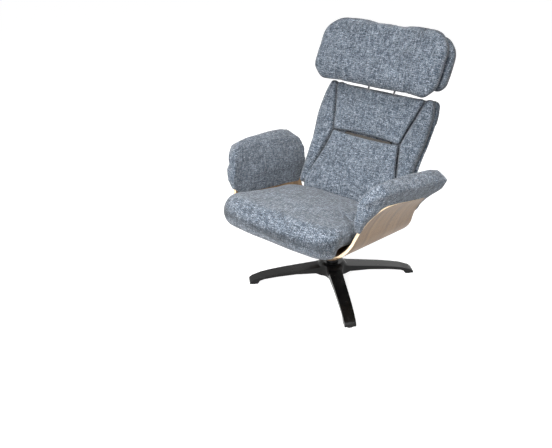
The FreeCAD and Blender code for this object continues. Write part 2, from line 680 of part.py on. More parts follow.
def bracket_parts():
    """Two steel brackets, their bolts, and the pins that the back turns on."""
    brackets = []
    for side in (1, -1):
        low, high = ("bracket_x", "bracket_x+bracket")
        if side < 0:
            low, high = f"-({high})", f"-{low}"
        plate = prism("bracket_plate", "YZ_Plane", [
            ("pivot_y-bracket_half_foot", "ply"), ("pivot_y+bracket_half_foot", "ply"),
            ("pivot_y+bracket_half_foot", "ply+bracket"), ("pivot_y+bracket_head", AXIS_Z),
            ("pivot_y-bracket_head", AXIS_Z), ("pivot_y-bracket_half_foot", "ply+bracket"),
        ], low, high)
        head = rod("bracket_boss", "x", "bracket_head", low, high, "pivot_y", AXIS_Z)
        far = "bracket_x+bracket+bracket_flange"
        reach = ("bracket_x", far) if side > 0 else (f"-({far})", "-bracket_x")
        foot = box("bracket_foot", reach,
                   ("pivot_y-bracket_half_foot", "pivot_y+bracket_half_foot"),
                   ("ply", "ply+bracket"))
        bore = rod("bracket_bore", "x", "pivot_radius", f"{low}-1", f"{high}+1",
                   "pivot_y", AXIS_Z)
        holes = bracket_bolt_rods("foot_hole", "bracket_bolt_radius+hole_gap", "ply-1",
                                  "ply+bracket+1")
        brackets.append(cut("bracket_blank", fuse("bracket_body", plate, head, foot),
                            bore, *holes))
    keep(group("pivot_bracket_left", brackets[0]), SHELL)
    keep(group("pivot_bracket_right", brackets[1]), SHELL)
    bolts = [
        fuse("bracket_bolt", *pieces) for pieces in zip(
            bracket_bolt_rods("bracket_bolt_shank", "bracket_bolt_radius", "0",
                              "ply+bracket"),
            bracket_bolt_rods("bracket_bolt_head", "bracket_bolt_radius+3", "ply+bracket",
                              "ply+bracket+4"),
            bracket_bolt_rods("bracket_bolt_disc", "bracket_bolt_radius+3", "-2", "0"))
    ]
    keep(group("bracket_bolts", *bolts), SHELL)
    inner = "torque_half_width-hinge_bush_length"
    outer = "bracket_x+bracket"
    pins = []
    for low, high, cap in ((inner, outer, f"{outer}+pin_head"),
                           (f"-({outer})", f"-({inner})", f"-({outer}+pin_head)")):
        shank = rod("pivot_shank", "x", "pivot_radius", low, high, "pivot_y", AXIS_Z)
        ends = (high, cap) if cap.startswith("bracket") else (cap, low)
        head = rod("pivot_head", "x", "pivot_radius+3", *ends, "pivot_y", AXIS_Z)
        pins.append(fuse("pivot_pin", shank, head))
    keep(group("pivot_pins", *pins), SHELL)


def strut_parts():
    """The gas strut: its body on two ears, and the rod whose eye takes the crank pin."""
    face = "strut_radius+strut_ear_gap"
    far = f"{face}+strut_ear"
    ears = []
    for low, high, out in ((face, far, f"{far}+strut_ear_flange"),
                           (f"-({far})", f"-({face})", f"-({far}+strut_ear_flange)")):
        span = (f"{PUSH_Y}-strut_ear_half", f"{PUSH_Y}+strut_ear_half")
        plate = box("ear_plate", (low, high), span, ("ply", "strut_z+strut_radius-1"))
        flange = (low, out) if out.startswith("strut") else (out, high)
        foot = box("ear_foot", flange, span, ("ply", "ply+strut_ear"))
        hole = rod("ear_hole", "x", "strut_pin", f"{low}-1", f"{high}+1", PUSH_Y, "strut_z")
        ears.append(cut("strut_ear_cut", fuse("strut_ear_blank", plate, foot), hole))
    keep(group("strut_ears", *ears), SHELL)
    keep(group("strut_pin_fixed", rod("strut_pin_bar", "x", "strut_pin", f"-({far})-2",
                                      f"{far}+2", PUSH_Y, "strut_z")), SHELL)
    head_end = f"{PUSH_Y}+strut_head"
    head = box("strut_head_block", ("-strut_radius", "strut_radius"),
               (f"{PUSH_Y}-strut_head", head_end),
               ("strut_z-strut_radius", "strut_z+strut_radius"))
    barrel = rod("strut_barrel", "y", "strut_radius", head_end, "strut_end_y", "0", "strut_z")
    keep(cut(
        "gas_cylinder", fuse("cylinder_blank", head, barrel),
        rod("cylinder_bore", "y", "strut_radius-strut_wall", f"{head_end}+strut_head",
            "strut_end_y-strut_guide", "0", "strut_z"),
        rod("guide_bore", "y", "rod_radius+turn_gap", "strut_end_y-strut_guide-1",
            "strut_end_y+1", "0", "strut_z"),
        rod("head_hole", "x", "strut_pin", "-strut_radius-1", "strut_radius+1", PUSH_Y,
            "strut_z"),
    ), SHELL)
    bar = rod("rod_bar", "y", "rod_radius", "-piston_y", CRANK_Y, "0", "strut_z")
    piston = rod("rod_piston", "y", "piston_radius", "-piston_y", "-piston_y+piston_length",
                 "0", "strut_z")
    eye = rod("rod_eye", "x", "eye_radius", "-eye_half_width", "eye_half_width", CRANK_Y,
              "strut_z")
    hole = rod("eye_hole", "x", "crank_pin+open_pivot_gap", "-eye_half_width-1",
               "eye_half_width+1", CRANK_Y, "strut_z")
    keep(cut("gas_rod", fuse("gas_rod_blank", bar, piston, eye), hole), SHELL)


def lever_parts():
    """The release lever on its cross shaft, and the push rod that opens the strut's valve."""
    shaft = rod("lever_shaft", "x", "lever_radius", "-paddle_x-10",
                "tray_half_width+lever_bush_lip", "-lever_y", "-lever_z")
    half = "paddle_thickness/2"
    paddle = box("lever_paddle", ("-paddle_end_x", "-paddle_x"),
                 ("-lever_y-paddle_front", "-lever_y+paddle_rear"),
                 (f"-lever_z-{half}", f"-lever_z+{half}"))
    finger = box("lever_finger", ("-finger_half_width", "finger_half_width"),
                 ("-lever_y", PUSH_Y), ("-lever_z-finger_tip", "-lever_z+finger_tip"))
    tip = rod("lever_tip", "x", "finger_tip", "-finger_half_width", "finger_half_width",
              PUSH_Y, "-lever_z")
    keep(fuse("recline_lever", shaft, paddle, finger, tip), SHELL)
    inside, outside = "tray_half_width-tray_wall-lever_bush_lip", "tray_half_width+lever_bush_lip"
    bushes = [
        ring("lever_bush_ring", "x", "lever_bush", "lever_radius+turn_gap", low, high,
             "-lever_y", "-lever_z")
        for low, high in ((inside, outside), (f"-({outside})", f"-({inside})"))
    ]
    keep(group("lever_bushes", *bushes), SHELL)
    keep(group("push_rod", rod("push_bar", "z", "push_radius",
                               "-lever_z+finger_tip+push_gap", "push_top", "0", PUSH_Y)), SHELL)


# Reclining back -------------------------------------------------------------------------------


def back_frame_parts():
    """The welded tube frame, its bushes, crank and webbing."""
    legs = [rod("back_leg", "z", "back_tube", "0", "back_bar_z", f"{side}back_leg_x", "0")
            for side in ("-", "")]
    bar = rod("back_bar", "x", "back_tube", "-back_leg_x", "back_leg_x", "0", "back_bar_z")
    corners = []
    for side in ("-", ""):
        ball = DOC.addObject("Part::Sphere", "back_corner")
        set_length(ball, "Radius", "back_tube")
        corners.append(move(ball, f"{side}back_leg_x", "0", "back_bar_z"))
    tube = rod("torque_tube", "x", "torque_radius", "-torque_half_width", "torque_half_width")
    bore = rod("torque_bore", "x", "torque_bore", "-torque_half_width-1",
               "torque_half_width+1")
    keep(cut("back_frame", fuse("back_frame_blank", tube, bar, *legs, *corners), bore), BACK)
    inner = "torque_half_width-hinge_bush_length"
    bushes = [
        ring("hinge_bush", "x", "torque_bore", "pivot_radius+turn_gap", low, high)
        for low, high in ((inner, "torque_half_width"), ("-torque_half_width", f"-({inner})"))
    ]
    keep(group("hinge_bushes", *bushes), BACK)
    plates = []
    for low, high in (("crank_inner_x", "crank_inner_x+crank_plate"),
                      ("-crank_inner_x-crank_plate", "-crank_inner_x")):
        arm = prism("crank_arm", "YZ_Plane", [
            ("crank_hub", "0"), ("crank_head-1", "-crank_radius"),
            ("-crank_head+1", "-crank_radius"), ("-crank_hub", "0"),
        ], low, high)
        hub = rod("crank_hub_disc", "x", "crank_hub", low, high)
        head = rod("crank_eye", "x", "crank_head", low, high, "0", "-crank_radius")
        holes = [
            rod("crank_tube_hole", "x", "torque_radius", f"{low}-1", f"{high}+1"),
            rod("crank_pin_hole", "x", "crank_pin", f"{low}-1", f"{high}+1", "0",
                "-crank_radius"),
        ]
        plates.append(cut("crank_plate_cut", fuse("crank_blank", arm, hub, head), *holes))
    keep(group("crank_plates", *plates), CRANK)
    keep(group("crank_pin_bar", rod("crank_bar", "x", "crank_pin", "-crank_pin_half",
                                    "crank_pin_half", "0", "-crank_radius")), CRANK)
    straps = []
    for i in range(int(size("back_strap_count"))):
        middle = f"(back_strap_foot+{i}*back_strap_pitch)"
        straps.append(box(
            "back_band", ("-back_leg_x-back_tube", "back_leg_x+back_tube"),
            ("-back_tube-back_strap", "-back_tube"),
            (f"{middle}-back_strap_width/2", f"{middle}+back_strap_width/2")))
    keep(group("back_webbing", *straps), BACK)


def back_pad_parts():
    """The front panels, the side bolsters and the padded rear cover."""
    slope = "(seat_seam_half-waist_half)*pad_foot/waist_z"
    keep(prism("lumbar_pad", "XZ_Plane", both_sides([
        (f"seat_seam_half+{slope}-soft_gap", "-pad_foot"),
        ("waist_half-soft_gap", "waist_z-soft_gap"),
    ]), "pad_rear", "pad_front"), BACK)
    panel = prism("upper_panel", "XZ_Plane", both_sides([
        ("waist_half-soft_gap", "waist_z"), ("crown_seam_half-soft_gap", "pad_top"),
    ]), "pad_rear", "pad_front")
    slots = [
        box("guide_slot", (f"{side}stalk_x-guide_radius-1", f"{side}stalk_x+guide_radius+1"),
            ("-stalk_y-guide_radius-1", "-pad_rear+1"), ("guide_foot-2", "pad_top+1"))
        for side in ("-", "")
    ]
    keep(cut("upper_back_pad", panel, *slots), BACK)
    inner = [("crown_seam_half+soft_gap", "pad_top"), ("waist_half+soft_gap", "waist_z"),
             ("seat_seam_half+soft_gap", "0")]
    bolster = prism("bolster_shape", "XZ_Plane", BACK_EDGE + inner, "-bolster_rear",
                    "pad_front+1")
    keep(group("bolster_left", bolster), BACK)
    keep(mirrored("bolster_right", bolster), BACK)
    cover = [("back_half_width-1", "rear_cover_foot")] + BACK_EDGE[1:]
    cover.append(("back_top_half-15", "back_top"))
    keep(prism("back_rear_cover", "XZ_Plane", both_sides(cover), "-rear_cover_rear",
               "-rear_cover_front"), BACK)


# Headrest -------------------------------------------------------------------------------------

def headrest_slide_parts():
    """Guides on a plate behind the upper panel, and the stalks that rise in them."""
    half = "stalk_x+guide_radius+6"
    keep(group("guide_plate", box(
        "guide_strip", (f"-({half})", half), ("-back_tube-guide_plate", "-back_tube"),
        ("guide_foot", "guide_top"))), BACK)
    guides = [
        ring("guide_tube", "z", "guide_radius", "stalk_radius+turn_gap", "guide_foot",
             "guide_top", f"{side}stalk_x", "-stalk_y")
        for side in ("-", "")
    ]
    keep(group("headrest_guides", *guides), BACK)
    pieces = [rod("stalk_bar", "z", "stalk_radius", "stalk_foot", "stalk_top",
                  f"{side}stalk_x", "-stalk_y") for side in ("-", "")]
    pieces.append(rod("stalk_cross", "x", "stalk_radius", "-stalk_x-stalk_radius",
                      "stalk_x+stalk_radius", "-stalk_y", "stalk_top"))
    for low, high in (("ear_x", "ear_x+ear"), ("-ear_x-ear", "-ear_x")):
        pieces.append(box("hinge_ear", (low, high), ("-hinge_y", "-stalk_y"),
                          ("stalk_top-stalk_radius", "hinge_z+hinge_radius-2")))
        pieces.append(rod("hinge_ear_end", "x", "hinge_radius", low, high, "-hinge_y",
                          "hinge_z"))
    hole = rod("hinge_ear_hole", "x", "hinge_pin", "-ear_x-ear-1", "ear_x+ear+1", "-hinge_y",
               "hinge_z")
    keep(cut("headrest_stalks", fuse("stalk_blank", *pieces), hole), BACK)
    keep(group("headrest_hinge_pin", rod("hinge_bar", "x", "hinge_pin", "-ear_x-ear-2",
                                         "ear_x+ear+2", "-hinge_y", "hinge_z")), BACK)


def bowed_pad(name, half, wing, rear, front, low, high):
    """A pad whose plan is a band of a large circle, with its ends bowed forward."""
    radius = f"(({half})^2+({wing})^2)/(2*({wing}))"
    band = ring(name + "_band", "z", radius, f"{radius}-({front}-{rear})", low, high, "0",
                f"-{rear}-{radius}")
    block = box(name + "_block", (f"-{half}", half), (f"-{front}-{wing}*2", f"-{rear}+1"),
                (low, high))
    return common(name, band, block)


def headrest_parts():
    """The hinged steel plate between the front pillow and the nape pad behind it."""
    leaf_top = "hinge_z+hinge_radius"
    face = "head_rear-soft_gap"
    plate = box("head_plate_strip", ("-plate_half_width", "plate_half_width"),
                (f"-({face})", f"-({face}-head_plate)"), (f"{leaf_top}-leaf", "plate_top"))
    leaf = box("head_leaf", ("-plate_half_width", "plate_half_width"),
               (f"-({face})", "-hinge_y"), (f"{leaf_top}-leaf", leaf_top))
    edge = "ear_x-soft_gap*2"
    barrels = [rod("head_barrel", "x", "hinge_radius", low, high, "-hinge_y", "hinge_z")
               for low, high in ((f"{edge}-barrel_length", edge),
                                 (f"-({edge})", f"-({edge})+barrel_length"))]
    bore = rod("barrel_bore", "x", "hinge_pin+turn_gap", "-ear_x", "ear_x", "-hinge_y",
               "hinge_z")
    keep(cut("headrest_bracket", fuse("head_bracket_blank", plate, leaf, *barrels), bore), BACK)
    keep(bowed_pad("head_pillow", "head_half_width", "head_wing", "head_rear", "head_front",
                   "head_foot", "head_top"), BACK)
    keep(bowed_pad("nape_pad", "nape_half_width", "head_wing", "nape_rear", "nape_front",
                   "nape_foot", "head_top"), BACK)


def check():
    """Stop if any object failed, or a sub-part is not made of sound solids."""
    failed = [o.Label for o in DOC.Objects if {"Invalid", "Error"} & set(o.State)]
    if failed:
        raise RuntimeError(f"failed objects: {failed}")
    for thing in PARTS:
        shape = thing.Shape
        if shape.isNull() or not shape.Solids or not shape.isValid():
            raise RuntimeError(f"{thing.Label} has no sound solid")


fill_sheet()
foot_parts()
swivel_parts()
tray_parts()
shell_parts()
arm_parts()
rail_parts()
seat_frame_parts()
cushion_parts()
bracket_parts()
strut_parts()
lever_parts()
back_frame_parts()
back_pad_parts()
headrest_slide_parts()
headrest_parts()
DOC.recompute()
check()
os.makedirs("parts", exist_ok=True)
for sub_part in PARTS:
    sub_part.Shape.exportStep(f"parts/{sub_part.Label}.step")
print(len(PARTS), "sub-parts written")
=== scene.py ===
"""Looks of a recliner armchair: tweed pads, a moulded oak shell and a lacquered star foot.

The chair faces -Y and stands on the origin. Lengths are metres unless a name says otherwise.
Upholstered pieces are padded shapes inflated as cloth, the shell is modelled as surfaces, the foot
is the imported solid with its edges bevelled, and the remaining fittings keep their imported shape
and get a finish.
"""

import json
import logging
import math
from collections.abc import Sequence
from dataclasses import dataclass, field
from enum import Enum

import bmesh
import bpy
import numpy as np
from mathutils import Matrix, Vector, noise
from mathutils.bvhtree import BVHTree


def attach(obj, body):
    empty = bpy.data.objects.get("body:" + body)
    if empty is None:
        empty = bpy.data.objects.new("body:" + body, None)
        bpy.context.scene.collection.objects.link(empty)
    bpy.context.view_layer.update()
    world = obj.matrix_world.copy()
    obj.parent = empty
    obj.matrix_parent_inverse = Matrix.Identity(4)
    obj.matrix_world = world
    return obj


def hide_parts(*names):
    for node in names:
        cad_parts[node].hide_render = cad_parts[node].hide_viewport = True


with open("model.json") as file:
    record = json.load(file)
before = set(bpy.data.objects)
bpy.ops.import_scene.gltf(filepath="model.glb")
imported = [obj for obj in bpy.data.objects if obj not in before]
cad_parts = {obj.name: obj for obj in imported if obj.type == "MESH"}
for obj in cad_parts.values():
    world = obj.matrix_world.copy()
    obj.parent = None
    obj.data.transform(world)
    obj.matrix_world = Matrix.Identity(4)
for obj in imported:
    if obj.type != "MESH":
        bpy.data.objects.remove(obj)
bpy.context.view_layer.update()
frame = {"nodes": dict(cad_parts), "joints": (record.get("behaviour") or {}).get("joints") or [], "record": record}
LOG = logging.getLogger("armchair")

MM = 0.001
# Name of the vertex weight that darkens the tweed with painted shade along the seams.
WEAVE_UV = "weave"
SEAM_SHADE = "crease"
Colour = tuple[float, float, float]
Points = np.ndarray


class Facing(Enum):
    """Which way the face of a pad looks in its tilted frame."""

    FORWARD = "forward"
    UP = "up"


class Side(Enum):
    """The sitter's left or right, as the sign of x."""

    LEFT = 1
    RIGHT = -1


@dataclass(frozen=True)
class Tilt:
    """A frame turned about the x axis, leaning back by an angle."""

    angle_deg: float
    y: float
    z: float

    def world(self, local: Points) -> Points:
        """Turn local points into the chair's frame.

        Args:
            local: rows of x, y, z in this frame.

        Returns:
            The same rows in the chair's frame.
        """
        cos, sin = math.cos(math.radians(self.angle_deg)), math.sin(math.radians(self.angle_deg))
        x, y, z = local.T
        return np.stack([x, self.y + y * cos + z * sin, self.z - y * sin + z * cos], axis=1)

    def local(self, world: Points) -> Points:
        """Turn points of the chair's frame into local ones.

        Args:
            world: rows of x, y, z in the chair's frame.

        Returns:
            The same rows in this frame.
        """
        cos, sin = math.cos(math.radians(self.angle_deg)), math.sin(math.radians(self.angle_deg))
        x, y, z = world[:, 0], world[:, 1] - self.y, world[:, 2] - self.z
        return np.stack([x, y * cos - z * sin, y * sin + z * cos], axis=1)


def joint_origin(name: str) -> Vector:
    """Where a packed joint's axis passes, in the chair's frame.

    Args:
        name: the joint's name.

    Returns:
        A point on the axis.
    """
    joint = next(j for j in frame["joints"] if j["name"] == name)
    return Vector(joint["pos_m"])


SHELL_FRAME = Tilt(11.5, 0.0, 0.267)
BACK_PIVOT = joint_origin("back_recline")
BACK_FRAME = Tilt(28.8, BACK_PIVOT.y, BACK_PIVOT.z)


# Finishes ---------------------------------------------------------------------------------------

class Wires:
    """Shorthand for building a node tree."""

    def __init__(self, tree: bpy.types.NodeTree) -> None:
        """Keep the tree that nodes are added to."""
        self.tree = tree

    def add(self, kind: str, inputs: dict | None = None, **settings: object) -> bpy.types.Node:
        """Add a node.

        Args:
            kind: the node's type name.
            inputs: values or output sockets by input name or number.
            settings: attributes of the node.

        Returns:
            The new node.
        """
        node = self.tree.nodes.new(kind)
        for name, value in settings.items():
            setattr(node, name, value)
        for key, value in (inputs or {}).items():
            self.plug(node.inputs[key], value)
        return node

    def plug(self, socket: bpy.types.NodeSocket, value: object) -> None:
        """Link an output to a socket, or set the socket's own value."""
        if isinstance(value, bpy.types.NodeSocket):
            self.tree.links.new(value, socket)
        else:
            socket.default_value = value

    def math(self, operation: str, *values: object) -> bpy.types.NodeSocket:
        """Add a Math node and return its output."""
        node = self.add("ShaderNodeMath", dict(enumerate(values)), operation=operation)
        return node.outputs[0]

    def vector(self, operation: str, *values: object) -> bpy.types.NodeSocket:
        """Add a Vector Math node and return its vector output."""
        node = self.add("ShaderNodeVectorMath", dict(enumerate(values)), operation=operation)
        return node.outputs[0]

    def noise(self, vector: bpy.types.NodeSocket, scale: float, detail: float = 2.0,
              roughness: float = 0.5) -> bpy.types.NodeSocket:
        """Add a Noise Texture and return its value."""
        node = self.add("ShaderNodeTexNoise", {
            "Vector": vector, "Scale": scale, "Detail": detail, "Roughness": roughness})
        return node.outputs[0]

    def ramp(self, value: bpy.types.NodeSocket,
             stops: Sequence[tuple[float, Colour]]) -> bpy.types.NodeSocket:
        """Colour a value.

        Args:
            value: the value's socket.
            stops: positions from 0 to 1 and their colours.

        Returns:
            The colour's socket.
        """
        node = self.add("ShaderNodeValToRGB", {0: value})
        elements = node.color_ramp.elements
        while len(elements) < len(stops):
            elements.new(0.5)
        for element, (place, colour) in zip(elements, stops):
            element.position = place
            element.color = (*colour, 1.0)
        return node.outputs[0]

    def blend(self, kind: str, share: object, first: object,
              second: object) -> bpy.types.NodeSocket:
        """Mix two colours and return the result."""
        node = self.add("ShaderNodeMix", data_type="RGBA", blend_type=kind)
        for socket, value in zip((node.inputs[0], node.inputs[6], node.inputs[7]),
                                 (share, first, second)):
            self.plug(socket, value)
        return node.outputs[2]

    def grey(self, value: bpy.types.NodeSocket, low: float, high: float,
             out_low: float, out_high: float) -> bpy.types.NodeSocket:
        """Map a value from one range to another."""
        node = self.add("ShaderNodeMapRange", dict(enumerate((value, low, high, out_low, out_high))))
        return node.outputs[0]

    def bump(self, height: bpy.types.NodeSocket, depth: float, strength: float = 1.0,
             under: bpy.types.NodeSocket | None = None) -> bpy.types.NodeSocket:
        """Add a Bump node and return its normal."""
        inputs = {"Height": height, "Distance": depth, "Strength": strength}
        if under is not None:
            inputs["Normal"] = under
        return self.add("ShaderNodeBump", inputs).outputs[0]


@dataclass(frozen=True)
class Finish:
    """A procedural material. Subclasses wire their own colour, gloss and relief."""

    name: str

    def make(self) -> bpy.types.Material:
        """Return the material, built on first use."""
        found = bpy.data.materials.get(self.name + "_finish")
        if found is not None:
            return found
        material = bpy.data.materials.new(self.name + "_finish")
        material.use_nodes = True
        material.node_tree.nodes.clear()
        wires = Wires(material.node_tree)
        shader = wires.add("ShaderNodeBsdfPrincipled")
        wires.add("ShaderNodeOutputMaterial", {"Surface": shader.outputs[0]})
        self.wire(wires, shader)
        return material

    def wire(self, wires: Wires, shader: bpy.types.Node) -> None:
        """Wire the finish to the shader."""
        raise NotImplementedError


@dataclass(frozen=True)
class Tweed(Finish):
    """A melange plain weave of pale, mid and dark yarns."""

    pitch: float = 0.0031
    dark: Colour = (0.012, 0.019, 0.030)
    middle: Colour = (0.070, 0.092, 0.122)
    pale: Colour = (0.300, 0.335, 0.385)
    slub: float = 0.16
    relief: float = 0.0007

    def wire(self, wires: Wires, shader: bpy.types.Node) -> None:
        """Weave warp over weft, colour each yarn along its own length, and darken it with painted shade between
        the yarns and along the seams.
        """
        place = wires.add("ShaderNodeUVMap", uv_map=WEAVE_UV).outputs[0]
        threads = wires.vector("SCALE", place)
        threads.node.inputs["Scale"].default_value = 1 / self.pitch
        split = wires.add("ShaderNodeSeparateXYZ", {0: threads})
        u, v = split.outputs[0], split.outputs[1]
        warp, warp_tone = self.yarn(wires, u, v, 1.0, 3.7)
        weft, weft_tone = self.yarn(wires, v, u, -1.0, 11.3)
        over = wires.math("GREATER_THAN", warp, weft)
        tone = wires.add("ShaderNodeMix", {0: over, 2: weft_tone, 3: warp_tone}).outputs[0]
        height = wires.math("MAXIMUM", warp, weft)
        yarns = wires.ramp(tone, ((0.30, self.dark), (0.47, self.middle), (0.66, self.pale)))
        for stretch in ((80.0, 420.0, 1.0), (300.0, 420.0, 1.0)):
            streak = wires.noise(wires.vector("MULTIPLY", place, stretch), 1.0, 2.0)
            yarns = wires.blend("MULTIPLY", 1.0, yarns,
                                wires.grey(streak, 0.34, 0.66, 0.62, 1.36))
        cloud = wires.grey(wires.noise(place, 11.0, 3.0), 0.3, 0.7, 0.88, 1.12)
        yarns = wires.blend("MULTIPLY", 1.0, yarns, cloud)
        # Painted shade: the colour is darkened down to 0.55 in the low parts of the weave, between the yarns.
        hollow = wires.grey(height, 0.0, 0.7, 0.55, 1.0)
        yarns = wires.blend("MULTIPLY", 1.0, yarns, hollow)
        # Painted shade: the tweed's colour is darkened down to 0.42 along the seams, where the grooves would be in
        # shade.
        crease = wires.add("ShaderNodeAttribute", attribute_name=SEAM_SHADE).outputs["Fac"]
        shade = wires.grey(crease, 0.0, 1.0, 1.0, 0.42)
        wires.plug(shader.inputs["Base Color"], wires.blend("MULTIPLY", 1.0, yarns, shade))
        fuzz = wires.noise(place, 1900.0, 2.0)
        normal = wires.bump(fuzz, self.relief * 0.3)
        wires.plug(shader.inputs["Normal"], wires.bump(height, self.relief, 1.0, normal))
        wires.plug(shader.inputs["Roughness"], wires.grey(fuzz, 0.3, 0.7, 0.84, 0.98))
        shader.inputs["Specular IOR Level"].default_value = 0.25
        shader.inputs["Sheen Weight"].default_value = 0.16
        shader.inputs["Sheen Roughness"].default_value = 0.6

    def yarn(self, wires: Wires, across: bpy.types.NodeSocket, along: bpy.types.NodeSocket,
             sign: float, seed: float) -> tuple[bpy.types.NodeSocket, bpy.types.NodeSocket]:
        """One set of parallel yarns.

        Args:
            wires: the tree's shorthand.
            across: the coordinate that counts yarns.
            along: the coordinate that runs along them.
            sign: 1 for the set that starts on top, -1 for the other.
            seed: a place of its own in the noise for this set.

        Returns:
            The yarns' height and their tone.
        """
        count = wires.math("FLOOR", across)
        parity = wires.math("COSINE", wires.math("MULTIPLY", count, math.pi))
        wave = wires.math("SINE", wires.math("MULTIPLY", along, math.pi))
        lift = wires.math("MULTIPLY_ADD", wires.math("MULTIPLY", wave, parity), 0.5 * sign, 0.5)
        body = wires.math("ABSOLUTE", wires.math("SINE", wires.math("MULTIPLY", across, math.pi)))
        lane = wires.add("ShaderNodeCombineXYZ", {
            0: wires.math("MULTIPLY", count, 7.31), 1: wires.math("MULTIPLY", along, self.slub),
            2: seed})
        return wires.math("MULTIPLY", body, lift), wires.noise(lane.outputs[0], 1.0, 2.5, 0.65)


@dataclass(frozen=True)
class OakVeneer(Finish):
    """Stained oak with its grain along the weave map's second axis."""

    light: Colour = (0.262, 0.160, 0.076)
    dark: Colour = (0.140, 0.080, 0.036)
    pore: Colour = (0.055, 0.030, 0.014)

    def wire(self, wires: Wires, shader: bpy.types.Node) -> None:
        """Growth bands, fine streaks and open pores, all drawn out along the grain."""
        place = wires.add("ShaderNodeUVMap", uv_map=WEAVE_UV).outputs[0]
        bands = wires.noise(wires.vector("MULTIPLY", place, (26.0, 1.6, 1.0)), 1.0, 4.0, 0.6)
        streaks = wires.noise(wires.vector("MULTIPLY", place, (420.0, 9.0, 1.0)), 1.0, 3.0)
        pores = wires.noise(wires.vector("MULTIPLY", place, (1300.0, 60.0, 1.0)), 1.0, 1.0)
        wood = wires.ramp(bands, ((0.33, self.dark), (0.68, self.light)))
        wood = wires.blend("MULTIPLY", 1.0, wood, wires.grey(streaks, 0.3, 0.7, 0.78, 1.2))
        mask = wires.grey(pores, 0.60, 0.70, 0.0, 0.75)
        wood = wires.blend("MIX", mask, wood, (*self.pore, 1.0))
        wires.plug(shader.inputs["Base Color"], wood)
        wires.plug(shader.inputs["Roughness"], wires.grey(streaks, 0.3, 0.7, 0.36, 0.52))
        height = wires.math("SUBTRACT", streaks, wires.math("MULTIPLY", mask, 0.8))
        wires.plug(shader.inputs["Normal"], wires.bump(height, 0.00012, 0.6))
        shader.inputs["Specular IOR Level"].default_value = 0.3


@dataclass(frozen=True)
class PlyEdge(Finish):
    """The cut edge of the ply, where the map's first axis counts through the layers."""

    layers: float = 7.0
    light: Colour = (0.765, 0.600, 0.415)
    dark: Colour = (0.560, 0.405, 0.255)

    def wire(self, wires: Wires, shader: bpy.types.Node) -> None:
        """Alternate long-grain and end-grain layers, with a little wander in each."""
        place = wires.add("ShaderNodeUVMap", uv_map=WEAVE_UV).outputs[0]
        split = wires.add("ShaderNodeSeparateXYZ", {0: place})
        wander = wires.noise(place, 6.0, 2.0)
        across = wires.math("MULTIPLY_ADD", split.outputs[0], self.layers * math.pi, wander)
        layer = wires.math("ABSOLUTE", wires.math("SINE", across))
        wood = wires.ramp(layer, ((0.15, self.dark), (0.5, self.light)))
        fibre = wires.noise(wires.vector("MULTIPLY", place, (9.0, 260.0, 1.0)), 1.0, 3.0)
        wood = wires.blend("MULTIPLY", 1.0, wood, wires.grey(fibre, 0.3, 0.7, 0.86, 1.1))
        wires.plug(shader.inputs["Base Color"], wood)
        wires.plug(shader.inputs["Roughness"], wires.grey(fibre, 0.3, 0.7, 0.42, 0.6))
        wires.plug(shader.inputs["Normal"], wires.bump(layer, 0.0001, 0.5))


@dataclass(frozen=True)
class BirchPly(Finish):
    """Bare birch ply in object coordinates, with layers through its height."""

    light: Colour = (0.690, 0.545, 0.370)
    dark: Colour = (0.470, 0.330, 0.200)

    def wire(self, wires: Wires, shader: bpy.types.Node) -> None:
        """Fine long grain over a slow change of tone."""
        place = wires.add("ShaderNodeTexCoord").outputs["Object"]
        grain = wires.noise(wires.vector("MULTIPLY", place, (16.0, 300.0, 560.0)), 1.0, 3.0)
        wood = wires.ramp(grain, ((0.3, self.dark), (0.6, self.light)))
        wires.plug(shader.inputs["Base Color"], wood)
        wires.plug(shader.inputs["Roughness"], wires.grey(grain, 0.3, 0.7, 0.5, 0.7))
        wires.plug(shader.inputs["Normal"], wires.bump(grain, 0.0001, 0.5))


@dataclass(frozen=True)
class Lacquer(Finish):
    """Deep gloss lacquer with a faint orange peel and a film of dust."""

    colour: Colour = (0.0022, 0.0022, 0.0024)
    dust: Colour = (0.008, 0.0075, 0.007)

    def wire(self, wires: Wires, shader: bpy.types.Node) -> None:
        """Dust lies in soft patches and dulls the gloss under it."""
        place = wires.add("ShaderNodeTexCoord").outputs["Object"]
        patches = wires.grey(wires.noise(place, 14.0, 5.0, 0.6), 0.45, 0.75, 0.0, 1.0)
        tone = wires.blend("MIX", patches, (*self.colour, 1.0), (*self.dust, 1.0))
        wires.plug(shader.inputs["Base Color"], tone)
        wires.plug(shader.inputs["Roughness"], wires.grey(patches, 0.0, 1.0, 0.20, 0.34))
        wires.plug(shader.inputs["Normal"], wires.bump(wires.noise(place, 320.0), 0.00005, 0.5))
        shader.inputs["Specular IOR Level"].default_value = 0.16
        shader.inputs["Coat Weight"].default_value = 0.12
        shader.inputs["Coat Roughness"].default_value = 0.06


@dataclass(frozen=True)
class PowderCoat(Finish):
    """Painted metal with a fine pebbled surface."""

    colour: Colour
    roughness: float = 0.5
    pebble: float = 900.0
    metal: float = 0.0

    def wire(self, wires: Wires, shader: bpy.types.Node) -> None:
        """A small pebble in the relief and a slow change of tone and gloss."""
        place = wires.add("ShaderNodeTexCoord").outputs["Object"]
        pebble = wires.noise(place, self.pebble, 2.0)
        slow = wires.noise(place, 22.0, 3.0)
        tone = wires.blend("MULTIPLY", 1.0, (*self.colour, 1.0),
                           wires.grey(slow, 0.3, 0.7, 0.8, 1.25))
        wires.plug(shader.inputs["Base Color"], tone)
        spread = wires.grey(slow, 0.3, 0.7, self.roughness - 0.06, self.roughness + 0.08)
        wires.plug(shader.inputs["Roughness"], spread)
        wires.plug(shader.inputs["Normal"], wires.bump(pebble, 0.00008, 0.6))
        shader.inputs["Metallic"].default_value = self.metal


